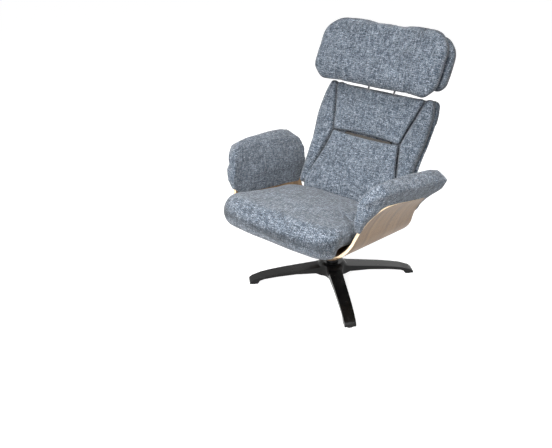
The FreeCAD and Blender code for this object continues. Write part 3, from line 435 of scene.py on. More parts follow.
@dataclass(frozen=True)
class BareMetal(Finish):
    """Turned or plated steel with fine marks along one axis."""

    colour: Colour
    roughness: float = 0.25
    marks: tuple[float, float, float] = (40.0, 900.0, 900.0)

    def wire(self, wires: Wires, shader: bpy.types.Node) -> None:
        """Long fine scratches change the gloss, and faint stains the tone."""
        place = wires.add("ShaderNodeTexCoord").outputs["Object"]
        lines = wires.noise(wires.vector("MULTIPLY", place, self.marks), 1.0, 3.0)
        stain = wires.noise(place, 45.0, 4.0)
        tone = wires.blend("MULTIPLY", 1.0, (*self.colour, 1.0),
                           wires.grey(stain, 0.3, 0.7, 0.84, 1.08))
        wires.plug(shader.inputs["Base Color"], tone)
        spread = wires.grey(lines, 0.3, 0.7, self.roughness - 0.07, self.roughness + 0.12)
        wires.plug(shader.inputs["Roughness"], spread)
        wires.plug(shader.inputs["Normal"], wires.bump(lines, 0.00003, 0.4))
        shader.inputs["Metallic"].default_value = 1.0


@dataclass(frozen=True)
class Strapping(Finish):
    """Woven elastic webbing with a coarse twill."""

    light: Colour = (0.115, 0.105, 0.095)
    dark: Colour = (0.022, 0.021, 0.020)
    rib: float = 0.0022

    def wire(self, wires: Wires, shader: bpy.types.Node) -> None:
        """Diagonal ribs, broken up by the yarns' own noise."""
        place = wires.add("ShaderNodeTexCoord").outputs["Object"]
        split = wires.add("ShaderNodeSeparateXYZ", {0: place})
        slope = wires.math("ADD", split.outputs[0], wires.math("ADD", split.outputs[1],
                                                               split.outputs[2]))
        ribs = wires.math("SINE", wires.math("MULTIPLY", slope, 2 * math.pi / self.rib))
        yarn = wires.noise(place, 700.0, 2.0)
        height = wires.math("MULTIPLY_ADD", ribs, 0.35, yarn)
        wires.plug(shader.inputs["Base Color"],
                   wires.ramp(height, ((0.2, self.dark), (0.8, self.light))))
        shader.inputs["Roughness"].default_value = 0.85
        wires.plug(shader.inputs["Normal"], wires.bump(height, 0.0003, 0.8))


TWEED = Tweed("tweed")
THREAD = PowderCoat("seam_thread", (0.030, 0.040, 0.055), 0.8, 2500.0)
VENEER = OakVeneer("oak_veneer")
PLY_EDGE = PlyEdge("ply_edge")
SLOT_FINISHES: dict[str, Finish] = {
    "moulded_ply": VENEER,
    "birch_ply": BirchPly("birch_ply"),
    "black_gloss": Lacquer("black_lacquer"),
    "black_tube": PowderCoat("black_tube", (0.010, 0.010, 0.011), 0.34, 600.0, 0.3),
    "black_steel": PowderCoat("black_powder_coat", (0.016, 0.016, 0.018), 0.52),
    "strut_black": PowderCoat("strut_paint", (0.009, 0.009, 0.010), 0.30, 300.0),
    "lever_black": PowderCoat("lever_satin", (0.014, 0.014, 0.015), 0.38, 1200.0),
    "moulded_black": PowderCoat("moulded_plastic", (0.018, 0.018, 0.019), 0.55, 1600.0),
    "glide_black": PowderCoat("felted_glide", (0.030, 0.029, 0.028), 0.9, 2200.0),
    "bush_nylon": PowderCoat("natural_nylon", (0.620, 0.600, 0.540), 0.45, 1400.0),
    "bright_steel": BareMetal("ground_steel", (0.62, 0.62, 0.63), 0.2),
    "spring_steel": BareMetal("spring_steel", (0.30, 0.30, 0.32), 0.32),
    "zinc_steel": BareMetal("zinc_plate", (0.58, 0.60, 0.62), 0.36, (500.0, 500.0, 500.0)),
    "webbing": Strapping("elastic_webbing"),
}


# Mesh making ------------------------------------------------------------------------------------

def new_piece(name: str, points: Points, faces: Sequence[Sequence[int]]) -> bpy.types.Object:
    """Make a mesh object from points and faces, with its faces turned outwards.

    Args:
        name: the piece's name.
        points: rows of x, y, z.
        faces: point numbers of each face.

    Returns:
        The object, linked to the scene.
    """
    mesh = bpy.data.meshes.new(name)
    mesh.from_pydata([tuple(p) for p in points], [], [tuple(f) for f in faces])
    piece = bpy.data.objects.new(name, mesh)
    bpy.context.scene.collection.objects.link(piece)
    tidy_normals(piece)
    return piece


def tidy_normals(piece: bpy.types.Object, merge: float = 1e-6) -> None:
    """Merge doubles and turn every face outwards."""
    work = bmesh.new()
    work.from_mesh(piece.data)
    bmesh.ops.remove_doubles(work, verts=work.verts, dist=merge)
    bmesh.ops.dissolve_degenerate(work, edges=work.edges, dist=merge)
    bmesh.ops.recalc_face_normals(work, faces=work.faces)
    work.to_mesh(piece.data)
    work.free()
    piece.data.update()


def get_points(mesh: bpy.types.Mesh) -> Points:
    """Return the mesh's vertices as rows of x, y, z."""
    flat = np.zeros(len(mesh.vertices) * 3, np.float32)
    mesh.vertices.foreach_get("co", flat)
    return flat.reshape(-1, 3).astype(float)


def set_points(mesh: bpy.types.Mesh, points: Points) -> None:
    """Move the mesh's vertices to the given rows."""
    mesh.vertices.foreach_set("co", points.astype(np.float32).ravel())
    mesh.update()


def get_normals(mesh: bpy.types.Mesh) -> Points:
    """Return the mesh's vertex normals."""
    flat = np.zeros(len(mesh.vertices) * 3, np.float32)
    mesh.vertex_normals.foreach_get("vector", flat)
    return flat.reshape(-1, 3).astype(float)


def bake_modifiers(piece: bpy.types.Object) -> None:
    """Make the piece's modifiers part of its mesh."""
    shown = piece.evaluated_get(bpy.context.evaluated_depsgraph_get())
    made = bpy.data.meshes.new_from_object(shown)
    piece.modifiers.clear()
    old, piece.data = piece.data, made
    bpy.data.meshes.remove(old)


def voxelise(piece: bpy.types.Object, voxel: float) -> None:
    """Rebuild a closed piece from even quads of that size."""
    remesh = piece.modifiers.new("Remesh", "REMESH")
    remesh.mode = "VOXEL"
    remesh.voxel_size = voxel
    bake_modifiers(piece)


def relax(piece: bpy.types.Object, rounds: int, factor: float = 0.5) -> None:
    """Smooth the piece's points towards their neighbours."""
    smooth = piece.modifiers.new("Smooth", "SMOOTH")
    smooth.iterations = rounds
    smooth.factor = factor
    bake_modifiers(piece)


def refine(piece: bpy.types.Object) -> None:
    """Add one level of subdivision and smooth shading."""
    divide = piece.modifiers.new("Subdivide", "SUBSURF")
    divide.levels = divide.render_levels = 1
    bake_modifiers(piece)
    shade_smooth(piece)


def shade_smooth(piece: bpy.types.Object) -> None:
    """Shade every face smooth."""
    piece.data.polygons.foreach_set("use_smooth", [True] * len(piece.data.polygons))


def inflate(piece: bpy.types.Object, cap: float, pressure: float = 4.0, frames: int = 20) -> None:
    """Swell a closed piece as cloth under air pressure.

    Args:
        piece: the closed mesh.
        cap: the furthest that any point may move.
        pressure: the air pressure inside.
        frames: how long the simulation runs.
    """
    scene = bpy.context.scene
    before = get_points(piece.data)
    cloth = piece.modifiers.new("Cloth", "CLOTH")
    cloth.settings.use_pressure = True
    cloth.settings.uniform_pressure_force = pressure
    cloth.settings.effector_weights.gravity = 0.0
    cloth.settings.quality = 4
    cloth.point_cache.frame_start = 1
    cloth.point_cache.frame_end = frames
    for number in range(1, frames + 1):
        scene.frame_set(number)
    shown = piece.evaluated_get(bpy.context.evaluated_depsgraph_get())
    after = refit(get_points(shown.data), before)
    piece.modifiers.clear()
    scene.frame_set(1)
    shift = after - before
    reach = np.linalg.norm(shift, axis=1, keepdims=True)
    shift *= cap * np.tanh(reach / cap) / np.maximum(reach, 1e-9)
    set_points(piece.data, before + shift)


def refit(points: Points, target: Points) -> Points:
    """Stretch points so that they fill the box of other points.

    Args:
        points: rows of x, y, z.
        target: rows whose box is filled.

    Returns:
        The stretched points.
    """
    low, high = points.min(axis=0), points.max(axis=0)
    goal_low, goal_high = target.min(axis=0), target.max(axis=0)
    return goal_low + (points - low) * (goal_high - goal_low) / (high - low)


def ripple(points: Points, normals: Points, height: float, length: float, seed: float) -> Points:
    """Soft, uneven hills along the normals.

    Args:
        points: rows of x, y, z.
        normals: a unit vector for each.
        height: the hills' height.
        length: their spacing.
        seed: a place of its own in the noise.

    Returns:
        The moved points.
    """
    shifted = points / length + seed
    values = np.array([noise.noise(Vector(p)) for p in shifted])
    return points + normals * (values * height)[:, None]


def write_uv(piece: bpy.types.Object, local: Points) -> None:
    """Lay the weave map over the piece from the side each face looks to.

    Args:
        piece: the mesh.
        local: the vertices in the piece's own frame, whose axes the yarns follow.
    """
    mesh = piece.data
    loops = np.zeros(len(mesh.loops), np.int32)
    mesh.loops.foreach_get("vertex_index", loops)
    starts = np.zeros(len(mesh.polygons), np.int32)
    totals = np.zeros(len(mesh.polygons), np.int32)
    mesh.polygons.foreach_get("loop_start", starts)
    mesh.polygons.foreach_get("loop_total", totals)
    owner = np.repeat(np.arange(len(starts)), totals)
    corner = local[loops]
    spans = [local[loops[starts + k]] for k in (0, 1, 2)]
    normal = np.abs(np.cross(spans[1] - spans[0], spans[2] - spans[0]))
    axis = np.argmax(normal, axis=1)[owner]
    first = np.where(axis == 0, corner[:, 1], corner[:, 0])
    second = np.where(axis == 2, corner[:, 1], corner[:, 2])
    layer = mesh.uv_layers.get(WEAVE_UV) or mesh.uv_layers.new(name=WEAVE_UV)
    layer.data.foreach_set("uv", np.stack([first, second], axis=1).astype(np.float32).ravel())


def write_seam_shade(piece: bpy.types.Object, values: np.ndarray) -> None:
    """Store how deep in a seam each vertex lies, from 0 to 1, as the weight of the painted seam shade."""
    layer = piece.data.attributes.new(SEAM_SHADE, "FLOAT", "POINT")
    layer.data.foreach_set("value", values.astype(np.float32))


def smooth_curve(xs: Sequence[float], ys: Sequence[float]) -> "Spline":
    """Return a natural cubic through the given points."""
    return Spline(np.asarray(xs, float), np.asarray(ys, float))


class Spline:
    """A natural cubic spline, held flat beyond its ends."""

    def __init__(self, xs: np.ndarray, ys: np.ndarray) -> None:
        """Solve for the second derivatives at the knots.

        Args:
            xs: knot places, rising.
            ys: values at the knots.
        """
        self.xs, self.ys = xs, ys
        gaps, count = np.diff(xs), len(xs)
        matrix, right = np.eye(count), np.zeros(count)
        for i in range(1, count - 1):
            matrix[i, i - 1:i + 2] = gaps[i - 1], 2 * (gaps[i - 1] + gaps[i]), gaps[i]
            right[i] = 6 * ((ys[i + 1] - ys[i]) / gaps[i] - (ys[i] - ys[i - 1]) / gaps[i - 1])
        self.bend = np.linalg.solve(matrix, right)

    def __call__(self, x: np.ndarray) -> np.ndarray:
        """Return the spline's value at each x."""
        x = np.clip(x, self.xs[0], self.xs[-1])
        i = np.clip(np.searchsorted(self.xs, x) - 1, 0, len(self.xs) - 2)
        gap = self.xs[i + 1] - self.xs[i]
        a, b = (self.xs[i + 1] - x) / gap, (x - self.xs[i]) / gap
        cubic = (a ** 3 - a) * self.bend[i] + (b ** 3 - b) * self.bend[i + 1]
        return a * self.ys[i] + b * self.ys[i + 1] + cubic * gap ** 2 / 6


# Padded pieces ----------------------------------------------------------------------------------

@dataclass(frozen=True)
class Corner:
    """A corner of a pad's outline, in millimetres.

    Attributes:
        across: place across the chair.
        along: place up the back, or back along the seat.
        turn: the radius that rounds the corner.
        edge: how far in the pad's edge is rounded over, from here to the next corner.
    """

    across: float
    along: float
    turn: float
    edge: float


def both_sides(right: Sequence[Corner]) -> list[Corner]:
    """Close a right-hand outline, listed from bottom to top, with its mirror image."""
    rest = [Corner(-c.across, c.along, c.turn, right[i - 1].edge if i else right[0].edge)
            for i, c in reversed(list(enumerate(right)))]
    return list(right) + rest


@dataclass
class Pad:
    """A stuffed panel: an outline, two faces and an edge rounded between them.

    Heights are measured off the frame, forward for a back pad and up for a seat pad.
    """

    name: str
    node: str
    body: str
    tilt: Tilt
    facing: Facing
    corners: list[Corner]
    rear: float = 0.0
    front: float = 40.0
    middle: float = 0.5
    crown: float = 5.0
    bow: float = 0.0
    voxel: float = 5.0
    swell: float = 9.0
    inset: float = 0.5
    fill: float = 0.6
    rest_low: float | None = None
    rest_high: float | None = None
    ripple_height: float = 1.6
    # How far from the outline the painted seam shade reaches.
    seam_shade_width: float = 5.0
    seed: float = 1.0
    outline: Points = field(init=False)
    edges: np.ndarray = field(init=False)

    def __post_init__(self) -> None:
        """Work out the rounded outline."""
        self.outline, self.edges = self.rounded()

    def rounded(self, step: float = 9.0) -> tuple[Points, np.ndarray]:
        """Round the corners and divide the sides.

        Args:
            step: the longest side of the result.

        Returns:
            The outline's points, and the edge rounding at each.
        """
        places, edges = [], []
        count = len(self.corners)
        for i, corner in enumerate(self.corners):
            before, after = self.corners[i - 1], self.corners[(i + 1) % count]
            here = np.array([corner.across, corner.along])
            into = np.array([before.across, before.along]) - here
            out = np.array([after.across, after.along]) - here
            reach = [np.linalg.norm(into), np.linalg.norm(out)]
            into, out = into / reach[0], out / reach[1]
            half = math.acos(float(np.clip(into @ out, -1, 1))) / 2
            trim = min(corner.turn / max(math.tan(half), 1e-3), 0.48 * min(reach))
            start, end = here + into * trim, here + out * trim
            pieces = max(2, int(2 * trim / step))
            for share in np.linspace(0, 1, pieces + 1):
                low, high = start + (here - start) * share, here + (end - here) * share
                places.append(low + (high - low) * share)
                edges.append(before.edge + (corner.edge - before.edge) * share)
            next_trim = 0.48 * reach[1]
            span = reach[1] - trim - min(after.turn, next_trim)
            for share in np.linspace(0, 1, max(2, int(span / step)) + 1)[1:-1]:
                places.append(end + out * span * share)
                edges.append(corner.edge)
        return np.array(places), np.array(edges)

    def depth(self, flat: Points, scale: bool = True) -> np.ndarray:
        """How far inside the outline each point lies.

        Args:
            flat: rows of across, along.
            scale: measure in edge roundings rather than millimetres.

        Returns:
            The depth at each point.
        """
        start, end = self.outline, np.roll(self.outline, -1, axis=0)
        line = end - start
        offset = flat[:, None, :] - start[None, :, :]
        share = np.clip((offset * line).sum(2) / np.maximum((line ** 2).sum(1), 1e-9), 0, 1)
        gap = np.linalg.norm(offset - share[..., None] * line, axis=2)
        return (gap / self.edges if scale else gap).min(axis=1)

    def high_face(self, flat: Points) -> np.ndarray:
        """Height of the outer face: level, with a crown in the middle."""
        centre = self.outline.mean(axis=0)
        span = np.ptp(self.outline, axis=0) / 2
        away = (((flat - centre) / span) ** 2).sum(axis=1)
        return self.front + self.crown * np.clip(1 - away, -0.5, 1) - self.inset

    def low_face(self, flat: Points) -> np.ndarray:
        """Height of the face that rests on the frame."""
        return np.full(len(flat), self.rear + self.inset)

    def edge_line(self, flat: Points) -> np.ndarray:
        """Height at which the two faces meet at the outline."""
        return self.low_face(flat) + self.middle * (self.high_face(flat) - self.low_face(flat))

    def bowed(self, across: np.ndarray) -> np.ndarray:
        """How far the pad's ends curve forward there."""
        if not self.bow:
            return np.zeros_like(across)
        half = np.abs(self.outline[:, 0]).max()
        radius = (half ** 2 + self.bow ** 2) / (2 * self.bow)
        return radius - np.sqrt(radius ** 2 - across ** 2)

    def to_frame(self, pad: Points) -> Points:
        """Turn pad points, across, along and height, into the tilted frame's metres."""
        across, along, height = pad.T * MM
        if self.facing is Facing.FORWARD:
            return np.stack([across, -height, along], axis=1)
        return np.stack([across, along, height], axis=1)

    def blank(self, rings: int = 34) -> bpy.types.Object:
        """Build the closed shape before it is inflated.

        Args:
            rings: how many rings of points lie between the middle and the outline.

        Returns:
            The blank, in pad millimetres scaled to metres.
        """
        centre = self.outline.mean(axis=0)
        shares = np.sin(np.linspace(0, math.pi / 2, rings + 1))
        count = len(self.outline)
        flat = np.concatenate([centre + (self.outline - centre) * s for s in shares[1:]])
        flat = np.concatenate([centre[None], flat])
        inside = np.clip(self.depth(flat), 0, 1)
        inside[-count:] = 0.0
        round_over = np.sqrt(np.clip(1 - (1 - inside) ** 2, 0, 1))
        middle, bow = self.edge_line(flat), self.bowed(flat[:, 0])
        high = middle + (self.high_face(flat) - middle) * round_over + bow
        low = middle - (middle - self.low_face(flat)) * round_over + bow
        points = np.concatenate([np.column_stack([flat, high]), np.column_stack([flat, low])])
        faces: list[tuple[int, ...]] = []
        for side in (0, len(flat)):
            for j in range(count):
                k = (j + 1) % count
                faces.append((side, side + 1 + j, side + 1 + k))
                for ring in range(rings - 1):
                    a, b = side + 1 + ring * count, side + 1 + (ring + 1) * count
                    faces.append((a + j, b + j, b + k, a + k))
        return new_piece(self.name, points * MM, faces)

    def shape(self, pad: Points, normals: Points) -> Points:
        """Lay soft hills over the inflated pad, and flatten it where it rests."""
        moved = ripple(pad, normals, self.ripple_height, 75.0, self.seed)
        bow = self.bowed(np.clip(moved[:, 0], -300, 300))
        height = moved[:, 2] - bow
        if self.rest_low is not None:
            height = np.maximum(height, self.rest_low)
        if self.rest_high is not None:
            height = np.minimum(height, self.rest_high)
        return np.column_stack([moved[:, :2], height + bow])

    def build(self) -> bpy.types.Object:
        """Make, inflate, dress and mount the pad.

        Returns:
            The finished piece.
        """
        piece = self.blank()
        full = get_points(piece.data)
        voxelise(piece, self.voxel * MM)
        relax(piece, 3)
        set_points(piece.data, refit(get_points(piece.data), full))
        inflate(piece, self.swell * MM)
        pad = self.shape(get_points(piece.data) / MM, get_normals(piece.data))
        set_points(piece.data, pad * MM)
        refine(piece)
        pad = get_points(piece.data) / MM
        gap = self.depth(np.column_stack([pad[:, 0], pad[:, 1]]), scale=False)
        local = self.to_frame(pad)
        set_points(piece.data, self.tilt.world(local))
        write_uv(piece, local)
        # Painted shade: the tweed is darkened within a few millimetres of the outline, where the seam grooves
        # would be in shade.
        write_seam_shade(piece, np.exp(-(gap / self.seam_shade_width) ** 2))
        return finish_pad(piece, self.body, self.node)


def finish_pad(piece: bpy.types.Object, body: str,
               node: str) -> bpy.types.Object:
    """Dress a pad in tweed and mount it.

    Args:
        piece: the pad, in place.
        body: the body that it rides on.
        node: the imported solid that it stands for.

    Returns:
        The same piece.
    """
    piece.data.materials.clear()
    piece.data.materials.append(TWEED.make())
    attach(piece, body)
    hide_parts(node)
    LOG.info("%s: %d faces, rides on %s", piece.name, len(piece.data.polygons), body)
    return piece


# Stitching --------------------------------------------------------------------------------------

@dataclass
class RunningStitch:
    """Rows of thread stitches beside the seams of one body's pads."""

    body: str
    inset: float = 8.0
    pitch: float = 6.5
    length: float = 4.0
    thickness: float = 0.9
    seed: int = 7
    rows: list[tuple[Points, bool]] = field(default_factory=list)

    def follow(self, pad: Pad, piece: bpy.types.Object) -> None:
        """Lay a row on a finished pad's outer face, a little inside its outline.

        Args:
            pad: the pad's sizes.
            piece: the finished pad.
        """
        centre = pad.outline.mean(axis=0)
        away = centre - pad.outline
        reach = np.linalg.norm(away, axis=1, keepdims=True)
        flat = pad.outline + away / reach * (pad.inset + self.inset)
        mesh = piece.data
        tree = BVHTree.FromPolygons([v.co.copy() for v in mesh.vertices],
                                    [tuple(p.vertices) for p in mesh.polygons])
        far = pad.tilt.world(pad.to_frame(np.column_stack([flat, np.full(len(flat), 260.0)])))
        near = pad.tilt.world(pad.to_frame(np.column_stack([flat, np.zeros(len(flat))])))
        spots = []
        for start, end in zip(far, near):
            spot, _, _, _ = tree.ray_cast(Vector(start), Vector(end - start).normalized())
            if spot is not None:
                spots.append(tuple(spot))
        self.rows.append((np.array(spots), True))

    def tree(self) -> bpy.types.GeometryNodeTree:
        """Build the node tree that turns seam lines into stitches.

        Returns:
            The tree, with its sizes as named inputs.
        """
        tree = bpy.data.node_groups.new("running_stitch", "GeometryNodeTree")
        face = tree.interface
        face.new_socket("Seams", in_out="INPUT", socket_type="NodeSocketGeometry")
        for name in ("Pitch", "Length", "Thickness", "Wander"):
            face.new_socket(name, in_out="INPUT", socket_type="NodeSocketFloat")
        face.new_socket("Seed", in_out="INPUT", socket_type="NodeSocketInt")
        face.new_socket("Thread", in_out="INPUT", socket_type="NodeSocketMaterial")
        face.new_socket("Stitches", in_out="OUTPUT", socket_type="NodeSocketGeometry")
        wires = Wires(tree)
        given = wires.add("NodeGroupInput", {}).outputs
        curve = wires.add("GeometryNodeMeshToCurve", {"Mesh": given["Seams"]})
        spaced = tree.nodes.new("GeometryNodeResampleCurve")
        spaced.mode = "LENGTH"
        tree.links.new(curve.outputs["Curve"], spaced.inputs["Curve"])
        tree.links.new(given["Pitch"], spaced.inputs["Length"])
        bead = wires.add("GeometryNodeMeshIcoSphere", {"Radius": 0.5, "Subdivisions": 2})
        size = wires.add("ShaderNodeCombineXYZ", {
            "X": given["Thickness"], "Y": given["Thickness"], "Z": given["Length"]})
        yarn = wires.add("GeometryNodeTransform", {
            "Geometry": bead.outputs["Mesh"], "Scale": size.outputs[0]})
        tangent = wires.add("GeometryNodeInputTangent", {})
        wander = tree.nodes.new("FunctionNodeRandomValue")
        wander.data_type = "FLOAT_VECTOR"
        wander.inputs[0].default_value = (-1.0, -1.0, -1.0)
        tree.links.new(given["Seed"], wander.inputs["Seed"])
        sway = tree.nodes.new("ShaderNodeVectorMath")
        sway.operation = "SCALE"
        tree.links.new(wander.outputs[0], sway.inputs[0])
        tree.links.new(given["Wander"], sway.inputs["Scale"])
        heading = tree.nodes.new("ShaderNodeVectorMath")
        heading.operation = "ADD"
        tree.links.new(tangent.outputs[0], heading.inputs[0])
        tree.links.new(sway.outputs[0], heading.inputs[1])
        turn = tree.nodes.new("FunctionNodeAlignRotationToVector")
        turn.axis = "Z"
        tree.links.new(heading.outputs[0], turn.inputs["Vector"])
        placed = wires.add("GeometryNodeInstanceOnPoints", {
            "Points": spaced.outputs["Curve"], "Instance": yarn.outputs["Geometry"],
            "Rotation": turn.outputs["Rotation"]})
        real = wires.add("GeometryNodeRealizeInstances", {"Geometry": placed.outputs[0]})
        dyed = wires.add("GeometryNodeSetMaterial", {
            "Geometry": real.outputs[0], "Material": given["Thread"]})
        wires.add("NodeGroupOutput", {"Stitches": dyed.outputs[0]})
        return tree

    def build(self) -> bpy.types.Object:
        """Sew every row and mount the stitches.

        Returns:
            The finished stitches.
        """
        points, edges = [], []
        for row, closed in self.rows:
            first, count = len(points), len(row)
            points.extend(tuple(p) for p in row)
            edges.extend((first + i, first + i + 1) for i in range(count - 1))
            if closed:
                edges.append((first + count - 1, first))
        mesh = bpy.data.meshes.new("seam_lines")
        mesh.from_pydata(points, edges, [])
        lines = bpy.data.objects.new("seam_lines", mesh)
        bpy.context.scene.collection.objects.link(lines)
        sewing = lines.modifiers.new("Sewing", "NODES")
        sewing.node_group = self.tree()
        values = {"Pitch": self.pitch * MM, "Length": self.length * MM,
                  "Thickness": self.thickness * MM, "Wander": 0.12, "Seed": self.seed,
                  "Thread": THREAD.make()}
        for item in sewing.node_group.interface.items_tree:
            if item.name in values:
                sewing[item.identifier] = values[item.name]
        lines.update_tag()
        shown = lines.evaluated_get(bpy.context.evaluated_depsgraph_get())
        sewn = bpy.data.meshes.new_from_object(shown)
        lines.modifiers.clear()
        bpy.data.objects.remove(lines)
        piece = bpy.data.objects.new("stitches_" + self.body, sewn)
        bpy.context.scene.collection.objects.link(piece)
        shade_smooth(piece)
        if not sewn.materials:
            sewn.materials.append(THREAD.make())
        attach(piece, self.body)
        LOG.info("%s: %d faces, rides on %s", piece.name, len(sewn.polygons), self.body)
        return piece


@dataclass
class SeatCushion(Pad):
    """The seat: a high front roll that hangs over the shell's lip, and a hollow behind it."""

    roll_front: float = -478.0
    lip_rear: float = -376.0
    lip_foot: float = 10.0
    base: float = 51.5

    def high_face(self, flat: Points) -> np.ndarray:
        """The roll, the hollow and the rise at the middle of the seat."""
        across, along = flat[:, 0], flat[:, 1]
        profile = smooth_curve((-478, -440, -400, -340, -240, -130, -40, 36),
                               (132, 147, 151, 148, 137, 129, 121, 112))
        side = (across / 258.0) ** 2
        dome = 9.0 * (1 - side) - 7.0 * side ** 2
        roll = np.clip((along + 400) / 260, 0, 1)
        return profile(along) + dome * roll - 5 * (1 - roll) * side ** 2 - self.inset

    def low_face(self, flat: Points) -> np.ndarray:
        """Flat on the webbing, with the lip dropping down in front of it."""
        drop = np.clip((self.lip_rear - flat[:, 1]) / 14.0, 0, 1)
        return self.base + self.inset + (self.lip_foot - self.base) * drop * drop * (3 - 2 * drop)

    def edge_line(self, flat: Points) -> np.ndarray:
        """The widest line of the sides, lower on the front roll."""
        return np.interp(flat[:, 1], (-478, -380, -300, 36), (80, 84, 92, 86))

    def shape(self, pad: Points, normals: Points) -> Points:
        """Keep the cushion between the arms, off the webbing and clear of the shell's lip."""
        moved = super().shape(pad, normals)
        across, along, height = moved.T
        half = 258.5 - 8.0 * np.clip((75 - height) / 25, 0, 1)
        across = np.clip(across, -half, half)
        under = (height < self.base) & (along > self.lip_rear)
        along = np.where(under & (along < self.lip_rear + 20), self.lip_rear, along)
        height = np.where(along > self.lip_rear + 0.5, np.maximum(height, self.base), height)
        return np.column_stack([across, along, height])


@dataclass
class ArmPad:
    """A padded arm that lines the shell's wall and rolls out over its rim."""

    side: Side
    voxel: float = 5.0
    swell: float = 5.0
    fill: float = 0.8

    def build(self) -> bpy.types.Object:
        """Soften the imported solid, swell it, and press it against the shell.

        Returns:
            The finished arm.
        """
        name = "arm_pad_" + self.side.name.lower()
        mesh = frame["nodes"][name].data.copy()
        piece = bpy.data.objects.new(name + "_cover", mesh)
        bpy.context.scene.collection.objects.link(piece)
        tidy_normals(piece, 1e-5)
        set_points(piece.data, SHELL_FRAME.local(get_points(piece.data)))
        full = get_points(piece.data)
        voxelise(piece, self.voxel * MM)
        relax(piece, 4)
        set_points(piece.data, refit(get_points(piece.data), full))
        inflate(piece, self.swell * MM)
        local = get_points(piece.data) / MM
        local = ripple(local, get_normals(piece.data), 1.2, 90.0, 4.0 + self.side.value)
        local = self.pressed(local)
        set_points(piece.data, local * MM)
        refine(piece)
        local = get_points(piece.data)
        write_uv(piece, local)
        # Painted shade: the tweed is darkened along the line where the arm meets the shell's rim.
        write_seam_shade(piece, self.seam(local / MM))
        set_points(piece.data, SHELL_FRAME.world(local))
        return finish_pad(piece, "seat", name)

    def pressed(self, local: Points) -> Points:
        """Push what lies in the shell's wall back to its inner face or up over the rim."""
        across, along, height = np.abs(local[:, 0]), local[:, 1], local[:, 2]
        height = height - 22.0 * np.clip((150.0 - height) / 32.0, 0.0, 1.0)
        across = np.maximum(across, 262.3)
        inner = SHELL.wall(along, np.clip(height, 60, 224), SHELL.ply + 0.8)
        rim = SHELL.rim_height(along) + 0.8
        into, above = across - inner, rim - height
        buried = (into > 0) & (above > 0)
        lift = buried & (above < into) & (above < 14)
        height = np.where(lift, rim, height)
        across = np.where(buried & ~lift, inner, across)
        return np.column_stack([across * self.side.value, along, height])

    def seam(self, local: Points) -> np.ndarray:
        """How near each point is to the line where the arm meets the shell's rim, which weights the painted seam
        shade there.
        """
        rim = SHELL.rim_height(local[:, 1])
        outer = SHELL.wall(local[:, 1], np.clip(rim, 60, 224), SHELL.ply)
        gap = np.hypot(np.abs(local[:, 0]) - outer, local[:, 2] - rim)
        return np.exp(-(gap / 5.0) ** 2)


# Shell ------------------------------------------------------------------------------------------

